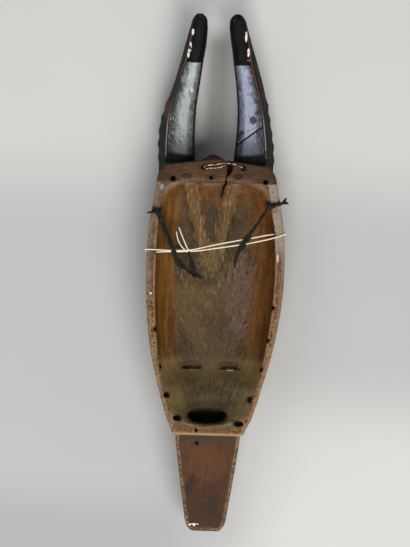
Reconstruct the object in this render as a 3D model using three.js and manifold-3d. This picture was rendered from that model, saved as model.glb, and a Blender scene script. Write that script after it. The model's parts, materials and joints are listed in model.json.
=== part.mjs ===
// A carved wooden zamble mask, half antelope and half beast, lying on its face with its hollow up.
// Lengths are millimetres. The mask's own frame has x to the right as seen from behind,
// y from the chin up to the horns and z out of the hollow, with the rim in the plane z = 0.
import * as THREE from 'three';
import { mergeVertices } from 'three/addons/utils/BufferGeometryUtils.js';
import Module from 'manifold-3d';

const wasm = await Module();
wasm.setup();

// How the mask lies: its nose and the roots of its horns touch the ground
const LEAN = THREE.MathUtils.degToRad(2.46);
const TO_ORIGIN = new THREE.Vector3(-4.5, -173.1, 79.9);

// Heights along the mask
const RIM_TOP = 298.5;
const CHIN = -2;
const JAW_TIP = -113;
const HORN_TIP = 461.3;

const RIM_BEVEL = 1.5;

// Left and right edge of the rim at each height
const RIM_EDGES = curve([
  [CHIN, -37.5, 40],
  [20, -46.5, 50.5],
  [45, -54, 57.5],
  [75, -61.8, 66.3],
  [110, -67.8, 73.8],
  [150, -71, 79.4],
  [190, -71.7, 80.7],
  [230, -69.9, 78],
  [270, -63.4, 71],
  [290, -60.4, 66.5],
  [RIM_TOP, -54, 61],
]);

// How far the middle of the front lies below the rim plane, from the tip of the snout to the top
const FRONT = curve([
  [JAW_TIP, 72],
  [-98, 76.35],
  [-60, 74],
  [CHIN, 70],
  [20, 67],
  [69, 60],
  [110, 57],
  [160, 60],
  [215, 63],
  [250, 60],
  [275, 52],
  [290, 41],
  [RIM_TOP, 30],
]);
const FACE_FULLNESS = curve([
  [CHIN, 2.15],
  [60, 2.35],
  [120, 2.5],
  [RIM_TOP, 2.5],
]);
const FACE_HEIGHTS = [...steps(CHIN, 262, 16), 272, 281, 288, 294, RIM_TOP];
const FACE_SIDES = 18;

// The arch of the rim's top edge: how far it stands over RIM_TOP from left to right. Below, it
// fades out down to where it starts.
const TOP_ARCH = curve([
  [-62, -5],
  [-54, -4],
  [-48, -1],
  [-28, 2],
  [-15, 3.2],
  [14, 3],
  [25, 2.8],
  [42, 0],
  [53, -2.4],
  [61, -4.4],
  [70, -5],
]);
const TOP_ARCH_START = 277;

// Left edge, right edge and depth of the hollow at each height, and how steep its lip is: from 1
// for a saucer to 2 for a bowl
const HOLLOW = curve([
  [9, -8, 7, 3, 1],
  [11, -19, 18, 5.5, 1],
  [16, -30.5, 31.5, 11, 1.05],
  [26, -39.5, 43, 21, 1.15],
  [45, -46.5, 50, 33, 1.35],
  [75, -54.3, 58.6, 40, 1.7],
  [110, -59, 64.8, 43, 2],
  [150, -61.2, 69, 43, 2.2],
  [190, -61.4, 70, 41, 2.2],
  [230, -60, 67.6, 36, 2],
  [252, -57, 63, 27, 1.6],
  [266, -50, 55.5, 16, 1.2],
  [276, -34, 39, 7, 1],
]);
const HOLLOW_FULLNESS = 2.6;
const HOLLOW_HEIGHTS = [9, 11, 16, 23, 32, ...steps(45, 252, 11), 260, 268, 276];
const HOLLOW_SIDES = 16;
const ABOVE_RIM = 6;

// Two soft ribs left standing in a V at the top of the hollow: [x, y] of each end
const RIBS = [
  { from: [-29.6, 280], to: [-8.5, 196] },
  { from: [26.5, 281], to: [7, 196] },
];
const RIB_WIDTH = 15;
const RIB_HEIGHT = 5;
const RIDGE_FOOT = 5;
const RIDGE_END = 0.45;

// The horns: inner and outer edge at each height, and the back and front of their long arc
const HORNS = {
  left: {
    outward: -1,
    edges: curve([
      [262, -29, -57],
      [285, -21.8, -61.5],
      [304, -21.6, -62.3],
      [321, -22.6, -62.7],
      [343, -22.5, -61.2],
      [365, -21.1, -54.6],
      [388, -18.1, -46.8],
      [410, -15.2, -40.8],
      [432, -12, -35.1],
      [454, -11.5, -29.3],
      [HORN_TIP, -13.5, -27.5],
    ]),
  },
  right: {
    outward: 1,
    edges: curve([
      [262, 29, 60],
      [285, 21.5, 65.5],
      [306, 21.6, 66.2],
      [324, 23.3, 64.8],
      [346, 24.3, 61],
      [368, 23.6, 56.8],
      [389, 21.4, 51.6],
      [411, 18, 44.6],
      [433, 14.4, 37.1],
      [455, 12.3, 30.6],
      [HORN_TIP, 14.5, 28.5],
    ]),
  },
};
const HORN_ARC = curve([
  [262, -22, -46],
  [285, -14, -59],
  [305, -12, -64.65],
  [340, -10, -60.5],
  [390, -6, -44],
  [430, 0, -25],
  [HORN_TIP, 6, -8],
]);
const HORN_SIDES = 12;
const HORN_FULLNESS = 2.6;
// Raised rings on the outside and front of each horn; spread is how far round they reach
const HORN_RINGS = { from: 297, to: 372, pitch: 15, height: 1.7, spread: 0.8 };
const HORN_HEIGHTS = [262, 276, 288, ...steps(HORN_RINGS.from, HORN_RINGS.to, 21), 390, 410, 430, 446];
const HORN_END = [[455, 0.97], [459, 0.78], [HORN_TIP, 0.42]];
// The band along the outside of each horn is cut flat by this plane in its unit section
const HORN_BAND = { across: 0.884, out: 0.469, at: 0.931 };

const CREST = { x: -1.5, y: 296.2, z: -19, width: 29, height: 25, depth: 36 };

// The jaws: half width at each height, thickness, and the open mouth between them
const JAW = curve([
  [JAW_TIP, 14.5],
  [-111, 17.6],
  [-107, 20.8],
  [-101, 22.8],
  [-87, 24.8],
  [-52, 29.9],
  [-14, 34.8],
  [8, 37],
]);
const LOWER_JAW_X = 1.2;
const JAW_STEP = 9;
const JAW_SLOPE = Math.tan(THREE.MathUtils.degToRad(13.2));
const LOWER_JAW_THICKNESS = 11.5;
const LOWER_JAW_HEIGHTS = [JAW_TIP, -111, -107, -101, -87, -52, -33, -14, 6];
const LOWER_JAW_CORNER = 2.5;
const LOWER_JAW_EDGE = 1;
const UPPER_JAW_INSET = 2.5;
const UPPER_JAW_HEIGHTS = [-108, -105, -98, -86, -70, -52, -33, -14, 4, 22];
const UPPER_JAW_SIDES = 10;
const UPPER_JAW_FULLNESS = 2.3;
const MOUTH_ROOF = curve([
  [-108, 58.5],
  [-50, 49],
  [5, 41],
  [22, 40],
]);
// The way into the mouth, from the floor of the hollow out under the chin edge: height along the
// mask, half width, and how deep it starts and ends
const MOUTH_ROWS = [[22, 12, -30, 39], [19, 18, -26, 41], [14, 21, -22, 41], [CHIN - 4, 21, -21.6, 41]];
const MOUTH_CORNER = 4;
// The mouth as it is cut down from the hollow: its top edge slants towards the chin on its way down
const MOUTH_WELL = {
  outline: [
    [-21.8, 17.5], [-19, 13.2], [-14, 10.6], [-7, 9.2], [7.5, 9.2], [14.5, 10.6], [19.5, 13.2],
    [22.2, 17.5], [20.5, 23], [12.5, 28.5], [0.2, 30], [-12, 28.5], [-20, 23],
  ],
  deep: 38,
  middle: 17.5,
  slant: 0.36,
};

// Rows of pointed teeth along both jaws, a little in from their edges, and across the upper tip
const TEETH = { from: -100, to: -12, count: 9, height: 7.5, thickness: 4.5, bury: 2 };
const LOWER_TEETH_INSET = 3.25;
const UPPER_TEETH_INSET = 5.35;
const FRONT_TEETH = { y: -103, count: 4, height: 5, reach: 0.82 };

const NOSE = curve([
  // height, half width, how far it stands out
  [-101, 9, 3],
  [-94, 13, 6],
  [-80, 11, 7],
  [-62, 6.5, 6.5],
  [20, 6, 7],
  [90, 7.5, 7],
  [112, 9, 3],
]);
const NOSE_HEIGHTS = [-101, -94, -87, -80, -70, -60, -30, 0, 30, 60, 90, 104, 114];
const NOSE_X = 0.6;
const NOSE_ROOT = 8;
const NOSE_FULLNESS = 2.2;
const NOSE_SIDES = 8;

const FOREHEAD_RIDGE = { x: 4, top: 276, foot: 122, halfWidth: 5.5, height: 3.5 };

// Each eye: its slit, cut right through, and the lids round it
const EYES = [{ x: -19.2, y: 70 }, { x: 23.4, y: 70.2 }];
const SLIT = { width: 22.5, height: 2.4, droop: 1.3, front: -90, depth: 70 };
const EYELIDS = { width: 34, height: 19, depth: 14, sink: 1.5 };
const BROW = { route: [[8, 104], [26, 101], [46, 92], [57, 74]], x: 2, width: 9, rise: 0.6 };

// Burnt holes just inside the rim: x, y and diameter. They run outwards through the side wall,
// dropping on their way, and the drill starts some way inside the hollow. Those for the string
// and the ties, near the top, start deeper in the hollow and drop less.
const SIDE_HOLES = [
  { x: -61, y: 242.5, size: 5.5 },
  { x: 61.5, y: 252.8, size: 5.5 },
  { x: -61.8, y: 197.3, size: 5.8 },
  { x: 68, y: 220.6, size: 5.8 },
  { x: 70, y: 177.5, size: 4 },
  { x: 69, y: 139.5, size: 3.6 },
  { x: 64.6, y: 103.6, size: 3.6 },
  { x: 58, y: 70.9, size: 3.6 },
  { x: 47, y: 37.6, size: 5 },
  { x: 36, y: 10.9, size: 5.6 },
  { x: -60, y: 112.7, size: 3.6 },
  { x: -53.4, y: 71.6, size: 3.6 },
  { x: -45.3, y: 40.5, size: 5 },
  { x: -33.8, y: 15.5, size: 5.6 },
];
const SIDE_HOLE = { length: 24, drop: 1.2, lead: 4 };
const STRING_HOLE = { above: 190, length: 26, drop: 0.4, mouth: -3.8, lead: 9 };
// Holes and dents sunk from the back: x, y, diameter and depth below the rim plane
const BACK_HOLES = [
  { x: -45, y: 279, size: 5, depth: 14 },
  { x: -3.2, y: 281, size: 3.4, depth: 12 },
  { x: 56.9, y: 277.5, size: 4.4, depth: 14 },
  { x: 26.8, y: 283, size: 7, depth: 2 },
  { x: -11.6, y: 292.4, size: 4.4, depth: 7 },
  { x: 32, y: 292.2, size: 4.4, depth: 7 },
  { x: -11.7, y: 2.6, size: 2.6, depth: 8 },
  { x: -10.8, y: -12.4, size: 3, depth: 18 },
];
const HOLE_SIDES = 7;

// A split that runs down from the top edge of the rim
const CRACK = {
  outline: [
    [13.8, 303], [20.6, 303], [20.2, 291], [17, 283], [13.6, 274.5],
    [10.6, 262], [9.8, 262], [12.2, 274], [14.8, 284], [15.8, 291],
  ],
  depth: 15,
};

const PIN = { x: -66.2, y: 152.7, head: 4.6, rise: 1.4, shank: 1.8, length: 7, gap: 0.5 };

// Cords and wire. Every route is a list of [x, y, z] along the middle of the strand.
const STRING_DIAMETER = 1.5;
const STRING_OVER_RIM = [
  [-39.7, 221, -3.2], [-38.7, 215.3, -2.2], [-36.5, 209.2, -1], [-33.4, 204.2, 0], [-30, 200.8, 0.9],
  [-34, 199.9, 1.2], [-45, 199.6, 1.2], [-58, 199.9, 1.2], [-66, 200.1, 1.3], [-70, 200.1, 1.35],
  [-72.4, 200, 0.1], [-73.3, 199.7, -2.2], [-73.4, 199.1, -5], [-72.6, 198.3, -7.4], [-70.4, 197.6, -8],
  [-67, 197.2, -6.4], [-62.5, 197.3, -4.3], [-58, 197.7, -2.1], [-52, 198.1, -0.2], [-44, 198.4, 0.7],
  [-34, 198.7, 1.1], [-26, 199.4, 1.1],
];
const STRING_ACROSS = [
  [-29, 200, 0.9], [-20, 201.3, 1.1], [-8.8, 204.1, 1.1], [3.2, 207.1, 1.1], [14.2, 209.5, 1.1],
  [34.9, 213.9, 1.1], [48.1, 216.6, 0.8], [56.9, 218.7, -0.6], [64.2, 220, -2.6], [70.5, 220.8, -5],
  [76, 221.4, -7.2], [79.6, 221.8, -8.1], [81.1, 221.8, -6.2], [81.4, 221.6, -3.4], [80.8, 221.2, -0.9],
  [79, 220.6, 0.9], [76.1, 219.5, 1.3], [69.9, 217.2, 1.2], [59.1, 214.1, 1.2], [37.3, 209.1, 1.2],
  [22, 206.3, 1.2], [7.7, 203.9, 1.2], [-6.1, 201.5, 1.2], [-17.4, 199.8, 1.1], [-23.6, 199.7, 1],
  [-27, 202.6, 0.2], [-29.3, 207.2, -0.6], [-31.8, 212.8, -1.8], [-34.3, 218.5, -2.9], [-37.2, 225.7, -4.2],
];
const STRING_KNOT = { at: [-27.4, 199.8, 0.9], size: [5, 3.6, 3.4] };

const TIE_DIAMETER = 3.2;
const TIE_RETURN_DIAMETER = 2.2;
const TIE_LEFT = [
  [-72.8, 240.4, 1.9], [-69.2, 240.8, 2.1], [-64.2, 241.5, 2.4], [-60.4, 240.1, 2.6], [-57.6, 235.3, 2.7],
  [-55, 228.6, 3], [-50.6, 219.7, 3.4], [-47.5, 213.2, 3.8], [-44.9, 206.6, 4.2], [-42.5, 200.5, 4.4],
  [-41, 195.5, 4.1], [-39.2, 191.5, 0], [-36.3, 187, -6.5], [-32.1, 182.5, -15], [-27.4, 178.4, -24],
  [-22.6, 175.2, -32], [-18.4, 173.1, -36.6],
];
const TIE_LEFT_BACK = [
  [-18.4, 173.1, -36.6], [-19.3, 178.7, -31], [-20.9, 184.2, -22], [-22.8, 189.6, -12.5], [-24.6, 194.3, -5],
  [-27.4, 198.9, -2.8], [-31.2, 202.1, -2.7], [-34.5, 203.4, -2], [-37.4, 203.9, -0.2], [-40.4, 204.2, 2],
];
const TIE_LEFT_TAIL = [[-18.4, 173.1, -36.6], [-14.1, 171.3, -38], [-9.7, 169.6, -38.6]];
const TIE_LEFT_KNOTS = [
  { at: [-61.7, 242.1, 2.7], size: [12.6, 8.4, 4.4] },
  { at: [-18.4, 173.1, -36.4], size: [6.5, 6, 5.4] },
];
const TIE_RIGHT = [
  [80.7, 256.2, 2.4], [75.9, 255, 2.3], [70.7, 253.5, 2.2], [65.7, 252, 2.2], [61.3, 249.7, 2.4],
  [57.3, 244.5, 2.6], [52.8, 237.4, 3], [47.7, 229.3, 3.7], [42.7, 221.9, 4.2], [38.1, 214.7, 4.5],
  [34.6, 209, 4.7], [31.7, 204.2, 1.9], [29.1, 199.1, -5.6], [27.3, 193.5, -15.5], [26.3, 188.2, -25],
  [25.9, 182.9, -34.4],
];
const TIE_RIGHT_KNOTS = [{ at: [79.5, 256.2, 2.4], size: [6, 5, 4.4] }];

const WIRE_DIAMETER = 1.5;
const WIRE_SIDES = 6;
const WIRE_LOWER = [
  [-11.6, 292.6, -4.5], [-11.7, 292.5, -1.8], [-11.2, 292, 0.3], [-9.8, 291.3, 1.25], [-8.2, 290.9, 1.3],
  [-3, 291.5, 1.25],
  [2.4, 291.7, 1.25], [8.3, 293.3, 1.25], [12, 294.7, 1.25],
];
const WIRE_UPPER = [
  [-11.6, 292.6, -4.5], [-11.7, 292.7, -1.8], [-11.3, 292.9, 0.3], [-10, 293.4, 1.25], [-8.6, 293.9, 1.3],
  [-3.7, 294.9, 1.25],
  [1.5, 295.4, 1.25], [6, 296.3, 1.25], [11, 296.9, 1.25], [16.5, 297, 1.25], [21, 296.6, 1.25],
  [25, 295.6, 1.25], [28.6, 294, 1.3], [30.4, 293.2, 1.25], [31.7, 292.6, 0.3], [32.1, 292.3, -1.8],
  [32, 292.2, -4.5],
];
const CORD_SIDES = 7;

// A smooth curve through rows of [height, value, ...], which gives its values at any height.
function curve(rows) {
  const heights = rows.map((row) => row[0]);
  const values = rows.flatMap((row) => row.slice(1));
  const track = new THREE.CubicInterpolant(heights, values, rows[0].length - 1);
  return (height) => Array.from(track.evaluate(height));
}

function steps(from, to, count) {
  return Array.from({ length: count }, (_, i) => from + ((to - from) * i) / (count - 1));
}

function signedPower(value, power) {
  return Math.sign(value) * Math.abs(value) ** power;
}

// The closed solid of a geometry whose faces point out.
function solid(geometry) {
  geometry.deleteAttribute('normal');
  geometry.deleteAttribute('uv');
  const merged = mergeVertices(geometry, 1e-4);
  const vertProperties = merged.attributes.position.array;
  const triVerts = Uint32Array.from(merged.index.array);
  return new wasm.Manifold(new wasm.Mesh({ numProp: 3, vertProperties, triVerts }));
}

// A capped cylinder's rows and columns, moved on to rings of equally many points. The rings run
// from the highest to the lowest, and each goes from its back towards +x, round the front and home.
function skin(rings) {
  const around = rings[0].length;
  const along = rings.length - 1;
  const geometry = new THREE.CylinderGeometry(1, 1, along, around, along);
  const place = geometry.attributes.position;
  for (let i = 0; i < place.count; i += 1) {
    const ring = rings[Math.round(along / 2 - place.getY(i))];
    const turn = Math.atan2(place.getX(i), place.getZ(i)) / (2 * Math.PI);
    const onAxis = Math.hypot(place.getX(i), place.getZ(i)) < 0.5;
    const spot = onAxis ? middleOf(ring) : ring[Math.round((turn + 1) * around) % around];
    place.setXYZ(i, spot.x, spot.y, spot.z);
  }
  return solid(geometry);
}

function middleOf(ring) {
  const middle = new THREE.Vector3();
  ring.forEach((spot) => middle.addScaledVector(spot, 1 / ring.length));
  return middle;
}

// Half a fat ellipse below the plane z = top, from its right end round the front to its left end.
function belly(left, right, y, top, depth, fullness, sides, lip = fullness) {
  return steps(0, Math.PI, sides + 1).map((angle) => new THREE.Vector3(
    (left + right) / 2 + ((right - left) / 2) * signedPower(Math.cos(angle), 2 / fullness),
    y,
    top - depth * Math.max(Math.sin(angle), 0) ** (2 / lip),
  ));
}

function bellyDepth(x, left, right, depth, fullness, lip = fullness) {
  const across = Math.min(Math.abs((2 * x - left - right) / (right - left)), 0.98);
  return depth * (1 - across ** fullness) ** (1 / lip);
}

// The height of the face's front surface, which lies below the rim plane.
function frontAt(x, y) {
  const [left, right] = RIM_EDGES(y);
  const [fullness] = FACE_FULLNESS(y);
  return -RIM_BEVEL - bellyDepth(x, left, right, FRONT(y)[0] - RIM_BEVEL, fullness);
}

function lowerJawBack(y) {
  return -JAW_STEP - (CHIN - y) * JAW_SLOPE;
}

function faceSolid() {
  const rings = FACE_HEIGHTS.map((y) => {
    const [left, right] = RIM_EDGES(y);
    const [fullness] = FACE_FULLNESS(y);
    const front = belly(left, right, y, -RIM_BEVEL, FRONT(y)[0] - RIM_BEVEL, fullness, FACE_SIDES);
    const ring = [
      new THREE.Vector3((left + right) / 2, y, 0),
      new THREE.Vector3(right - RIM_BEVEL, y, 0),
      ...front,
      new THREE.Vector3(left + RIM_BEVEL, y, 0),
    ];
    const share = Math.max(0, (y - TOP_ARCH_START) / (RIM_TOP - TOP_ARCH_START));
    ring.forEach((spot) => spot.setY(y + share * TOP_ARCH(spot.x)[0]));
    return ring;
  });
  return skin(rings.reverse());
}

function hollowSolid() {
  const rings = HOLLOW_HEIGHTS.map((y) => {
    const [left, right, depth, lip] = HOLLOW(y);
    return [
      new THREE.Vector3((left + right) / 2, y, ABOVE_RIM),
      new THREE.Vector3(right, y, ABOVE_RIM),
      ...belly(left, right, y, 0, depth, HOLLOW_FULLNESS, HOLLOW_SIDES, lip),
      new THREE.Vector3(left, y, ABOVE_RIM),
    ];
  });
  return skin(rings.reverse());
}

// How far the hollow goes down below a spot of the rim plane, which is nothing outside it.
function hollowDepth(x, y) {
  const [left, right, depth, lip] = HOLLOW(y);
  return x < left || x > right ? 0 : bellyDepth(x, left, right, depth, HOLLOW_FULLNESS, lip);
}

// A low rounded ridge along a line that runs downwards on a surface. It stands out to the back
// (outward 1) or to the front (outward -1), fades at both ends and has its foot in the wood.
function ridge(line, halfWidth, height, surface, outward) {
  const rings = line.map(([x, y], i) => {
    const grown = Math.sin((Math.PI * i) / (line.length - 1)) ** 0.5;
    const side = outward * halfWidth * THREE.MathUtils.lerp(RIDGE_END, 1, grown);
    const crown = steps(0, Math.PI, 5).map((angle) => new THREE.Vector3(
      x - side * Math.cos(angle),
      y,
      surface(x, y) + outward * ((height + 1) * grown * Math.sin(angle) - 1),
    ));
    const foot = surface(x, y) - outward * RIDGE_FOOT;
    return [...crown, new THREE.Vector3(x + side, y, foot), new THREE.Vector3(x - side, y, foot)];
  });
  return skin(rings);
}

function hornSolid({ outward, edges }) {
  const rows = [...HORN_HEIGHTS.map((y) => [y, 1]), ...HORN_END];
  const rings = rows.map(([y, size]) => {
    const [inner, outer] = edges(y);
    const [back, front] = HORN_ARC(y);
    const halfWidth = Math.abs(outer - inner) / 2;
    const halfDepth = (back - front) / 2;
    const inRings = y >= HORN_RINGS.from && y <= HORN_RINGS.to;
    const wave = inRings ? 0.5 - 0.5 * Math.cos((2 * Math.PI * (y - HORN_RINGS.from)) / HORN_RINGS.pitch) : 0;
    return Array.from({ length: HORN_SIDES }, (_, i) => {
      const angle = (2 * Math.PI * i) / HORN_SIDES;
      let x = signedPower(Math.sin(angle), 2 / HORN_FULLNESS) * outward;
      let z = signedPower(Math.cos(angle), 2 / HORN_FULLNESS);
      const over = Math.max(x * HORN_BAND.across + z * HORN_BAND.out - HORN_BAND.at, 0);
      x -= over * HORN_BAND.across;
      z -= over * HORN_BAND.out;
      const ringed = THREE.MathUtils.clamp((x - z) * HORN_RINGS.spread, 0, 1);
      const grown = size * (1 + (ringed * wave * HORN_RINGS.height) / halfWidth);
      return new THREE.Vector3(
        (inner + outer) / 2 + outward * x * halfWidth * grown,
        y,
        (back + front) / 2 + z * halfDepth * grown,
      );
    });
  });
  return skin(rings.reverse());
}

function lowerJawSolid() {
  const rings = LOWER_JAW_HEIGHTS.map((y) => {
    const half = JAW(y)[0];
    const back = lowerJawBack(y);
    const front = back - LOWER_JAW_THICKNESS;
    const corner = LOWER_JAW_CORNER;
    const edge = LOWER_JAW_EDGE;
    return [
      [half - edge, back], [half, back - edge], [half, front + corner], [half - corner, front],
      [corner - half, front], [-half, front + corner], [-half, back - edge], [edge - half, back],
    ].map(([x, z]) => new THREE.Vector3(LOWER_JAW_X + x, y, z));
  });
  return skin(rings.reverse());
}

function upperJawSolid() {
  const rings = UPPER_JAW_HEIGHTS.map((y) => {
    const half = JAW(y)[0] - UPPER_JAW_INSET;
    const roof = -MOUTH_ROOF(y)[0];
    return [
      new THREE.Vector3(0, y, roof),
      ...belly(-half, half, y, roof, FRONT(y)[0] + roof, UPPER_JAW_FULLNESS, UPPER_JAW_SIDES),
    ];
  });
  return skin(rings.reverse());
}

// The way from the hollow under the chin edge into the open mouth.
function mouthSolid() {
  const rings = MOUTH_ROWS.map(([y, half, top, floor]) => {
    const round = Math.min(MOUTH_CORNER, (floor + top) / 2.2);
    return [
      [0, top], [half - round, top], [half, top - round], [half, -floor + round], [half - round, -floor],
      [round - half, -floor], [-half, -floor + round], [-half, top - round], [round - half, top],
    ].map(([x, z]) => new THREE.Vector3(x, y, z));
  });
  return skin(rings);
}

function mouthWellSolid() {
  const { outline, deep, middle, slant } = MOUTH_WELL;
  const shape = new THREE.Shape(outline.map(([x, y]) => new THREE.Vector2(x, y)));
  const well = new THREE.ExtrudeGeometry(shape, { depth: deep + ABOVE_RIM, bevelEnabled: false });
  well.translate(0, 0, -deep);
  const place = well.attributes.position;
  for (let i = 0; i < place.count; i += 1) {
    const y = place.getY(i);
    if (place.getZ(i) < 0 && y > middle) place.setY(i, THREE.MathUtils.lerp(y, middle, slant));
  }
  return solid(well);
}

// A row of pointed teeth from one place on a jaw's edge to another, standing along `up`.
function toothRow(from, to, up, count, height) {
  const along = new THREE.Vector3().subVectors(to, from);
  const length = along.length();
  const outline = new THREE.Shape();
  outline.moveTo(0, -TEETH.bury);
  for (let i = 0; i < count; i += 1) {
    outline.lineTo((length * i) / count, 0);
    outline.lineTo((length * (i + 0.5)) / count, height);
  }
  outline.lineTo(length, 0);
  outline.lineTo(length, -TEETH.bury);
  const row = new THREE.ExtrudeGeometry(outline, { depth: TEETH.thickness, bevelEnabled: false });
  row.translate(0, 0, -TEETH.thickness / 2);
  const ahead = along.normalize();
  const across = new THREE.Vector3().crossVectors(ahead, up).normalize();
  const upright = new THREE.Vector3().crossVectors(across, ahead);
  row.applyMatrix4(new THREE.Matrix4().makeBasis(ahead, upright, across).setPosition(from));
  return solid(row);
}

function teethSolids() {
  const lowerEdge = (side, y) => new THREE.Vector3(
    LOWER_JAW_X + side * (JAW(y)[0] - LOWER_TEETH_INSET),
    y,
    lowerJawBack(y) - LOWER_JAW_THICKNESS,
  );
  const upperEdge = (side, y) => new THREE.Vector3(
    side * (JAW(y)[0] - UPPER_TEETH_INSET),
    y,
    -MOUTH_ROOF(y)[0],
  );
  const towardsFront = new THREE.Vector3(0, 0, -1);
  const towardsBack = new THREE.Vector3(0, 0, 1);
  const rows = [-1, 1].flatMap((side) => [
    toothRow(lowerEdge(side, TEETH.from), lowerEdge(side, TEETH.to), towardsFront, TEETH.count, TEETH.height),
    toothRow(upperEdge(side, TEETH.from), upperEdge(side, TEETH.to), towardsBack, TEETH.count, TEETH.height),
  ]);
  rows.push(toothRow(
    upperEdge(-FRONT_TEETH.reach, FRONT_TEETH.y),
    upperEdge(FRONT_TEETH.reach, FRONT_TEETH.y),
    towardsBack,
    FRONT_TEETH.count,
    FRONT_TEETH.height,
  ));
  return rows;
}

function noseSolid() {
  const rings = NOSE_HEIGHTS.map((y) => {
    const [half, proud] = NOSE(y);
    const base = -FRONT(y)[0] + NOSE_ROOT;
    return [
      new THREE.Vector3(NOSE_X, y, base),
      ...belly(NOSE_X - half, NOSE_X + half, y, base, NOSE_ROOT + proud, NOSE_FULLNESS, NOSE_SIDES),
    ];
  });
  return skin(rings.reverse());
}

function eyelidSolid({ x, y }) {
  const lids = new THREE.SphereGeometry(1, 10, 6);
  lids.scale(EYELIDS.width / 2, EYELIDS.height / 2, EYELIDS.depth / 2);
  const near = EYELIDS.height / 2;
  const slope = Math.atan2(frontAt(x + near, y) - frontAt(x - near, y), 2 * near);
  lids.rotateY(-slope);
  lids.translate(x, y, frontAt(x, y) + EYELIDS.sink);
  return solid(lids);
}

function slitSolid({ x, y }) {
  const half = SLIT.width / 2;
  const lens = new THREE.Shape();
  lens.moveTo(-half, 0);
  lens.quadraticCurveTo(0, -SLIT.height - SLIT.droop, half, 0);
  lens.quadraticCurveTo(0, SLIT.height - SLIT.droop, -half, 0);
  const slit = new THREE.ExtrudeGeometry(lens, { depth: SLIT.depth, bevelEnabled: false, curveSegments: 5 });
  slit.translate(x, y, SLIT.front);
  return solid(slit);
}

function browSolid(side) {
  const path = new THREE.CatmullRomCurve3(BROW.route.map(([out, y]) => {
    const x = BROW.x + side * out;
    return new THREE.Vector3(x, y, frontAt(x, y) + BROW.rise);
  }));
  const section = new THREE.Shape().absellipse(0, 0, BROW.width / 2, BROW.width / 2, 0, 2 * Math.PI);
  return solid(new THREE.ExtrudeGeometry(section, {
    steps: 8, extrudePath: path, curveSegments: 4, bevelEnabled: false,
  }));
}

function crestSolid() {
  const knob = new THREE.SphereGeometry(1, 10, 7);
  knob.scale(CREST.width / 2, CREST.height / 2, CREST.depth / 2);
  knob.translate(CREST.x, CREST.y, CREST.z);
  return solid(knob);
}

function drill({ x, y, z }, direction, size, length) {
  const bore = new THREE.CylinderGeometry(size / 2, size / 2, length, HOLE_SIDES);
  bore.translate(0, length / 2, 0);
  const turn = new THREE.Quaternion().setFromUnitVectors(new THREE.Vector3(0, 1, 0), direction.normalize());
  bore.applyQuaternion(turn);
  bore.translate(x, y, z);
  return solid(bore);
}

function holeSolids() {
  const sides = SIDE_HOLES.map(({ x, y, size }) => {
    const side = Math.sign(x);
    const { drop, lead, length, mouth } = y > STRING_HOLE.above
      ? STRING_HOLE
      : { ...SIDE_HOLE, mouth: -hollowDepth(x, y) };
    const away = new THREE.Vector3(side, 0, -drop);
    return drill({ x: x - side * lead, y, z: mouth + lead * drop }, away, size, length);
  });
  const backs = BACK_HOLES.map(({ x, y, size, depth }) => (
    drill({ x, y, z: ABOVE_RIM }, new THREE.Vector3(0, 0, -1), size, depth + ABOVE_RIM)
  ));
  const pin = drill(
    { x: PIN.x, y: PIN.y, z: ABOVE_RIM },
    new THREE.Vector3(0, 0, -1),
    PIN.shank + 2 * PIN.gap,
    PIN.length + PIN.gap + ABOVE_RIM,
  );
  return [...sides, ...backs, pin];
}

function crackSolid() {
  const outline = new THREE.Shape(CRACK.outline.map(([x, y]) => new THREE.Vector2(x, y)));
  const crack = new THREE.ExtrudeGeometry(outline, { depth: CRACK.depth + ABOVE_RIM, bevelEnabled: false });
  crack.translate(0, 0, -CRACK.depth);
  return solid(crack);
}

function ribSolids() {
  const floor = (x, y) => -hollowDepth(x, y);
  return RIBS.map(({ from, to }) => {
    const line = steps(0, 1, 9).map((part) => [
      THREE.MathUtils.lerp(from[0], to[0], part),
      THREE.MathUtils.lerp(from[1], to[1], part),
    ]);
    return ridge(line, RIB_WIDTH / 2, RIB_HEIGHT, floor, 1);
  });
}

function maskSolid() {
  const { x, top, foot, halfWidth, height } = FOREHEAD_RIDGE;
  const foreheadLine = steps(top, foot, 11).map((y) => [x, y]);
  const grown = [
    faceSolid(),
    hornSolid(HORNS.left),
    hornSolid(HORNS.right),
    lowerJawSolid(),
    upperJawSolid(),
    noseSolid(),
    browSolid(-1),
    browSolid(1),
    crestSolid(),
    ...EYES.map(eyelidSolid),
    ridge(foreheadLine, halfWidth, height, frontAt, -1),
  ].reduce((whole, piece) => whole.add(piece));
  const hollowed = [hollowSolid(), mouthSolid(), mouthWellSolid()].reduce((whole, piece) => whole.subtract(piece), grown);
  const ribbed = [...ribSolids(), ...teethSolids()].reduce((whole, piece) => whole.add(piece), hollowed);
  return [...EYES.map(slitSolid), ...holeSolids(), crackSolid()]
    .reduce((whole, piece) => whole.subtract(piece), ribbed);
}

// A smooth route that is stepped from one of its points to the next, so its bends get more steps.
class Route extends THREE.CatmullRomCurve3 {
  getSpacedPoints(divisions) {
    return this.getPoints(divisions);
  }

  getTangentAt(part) {
    return this.getTangent(part);
  }
}

function strand(route, diameter, sides = CORD_SIDES) {
  const path = new Route(route.map((spot) => new THREE.Vector3(...spot)));
  const corners = Array.from({ length: sides }, (_, i) => {
    const angle = (2 * Math.PI * i) / sides;
    return new THREE.Vector2(Math.cos(angle), Math.sin(angle)).multiplyScalar(diameter / 2);
  });
  return solid(new THREE.ExtrudeGeometry(new THREE.Shape(corners), {
    steps: route.length - 1, extrudePath: path, bevelEnabled: false,
  }));
}

function knot({ at, size }) {
  const ball = new THREE.SphereGeometry(1, 8, 5);
  ball.scale(size[0] / 2, size[1] / 2, size[2] / 2);
  ball.translate(...at);
  return solid(ball);
}

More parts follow.
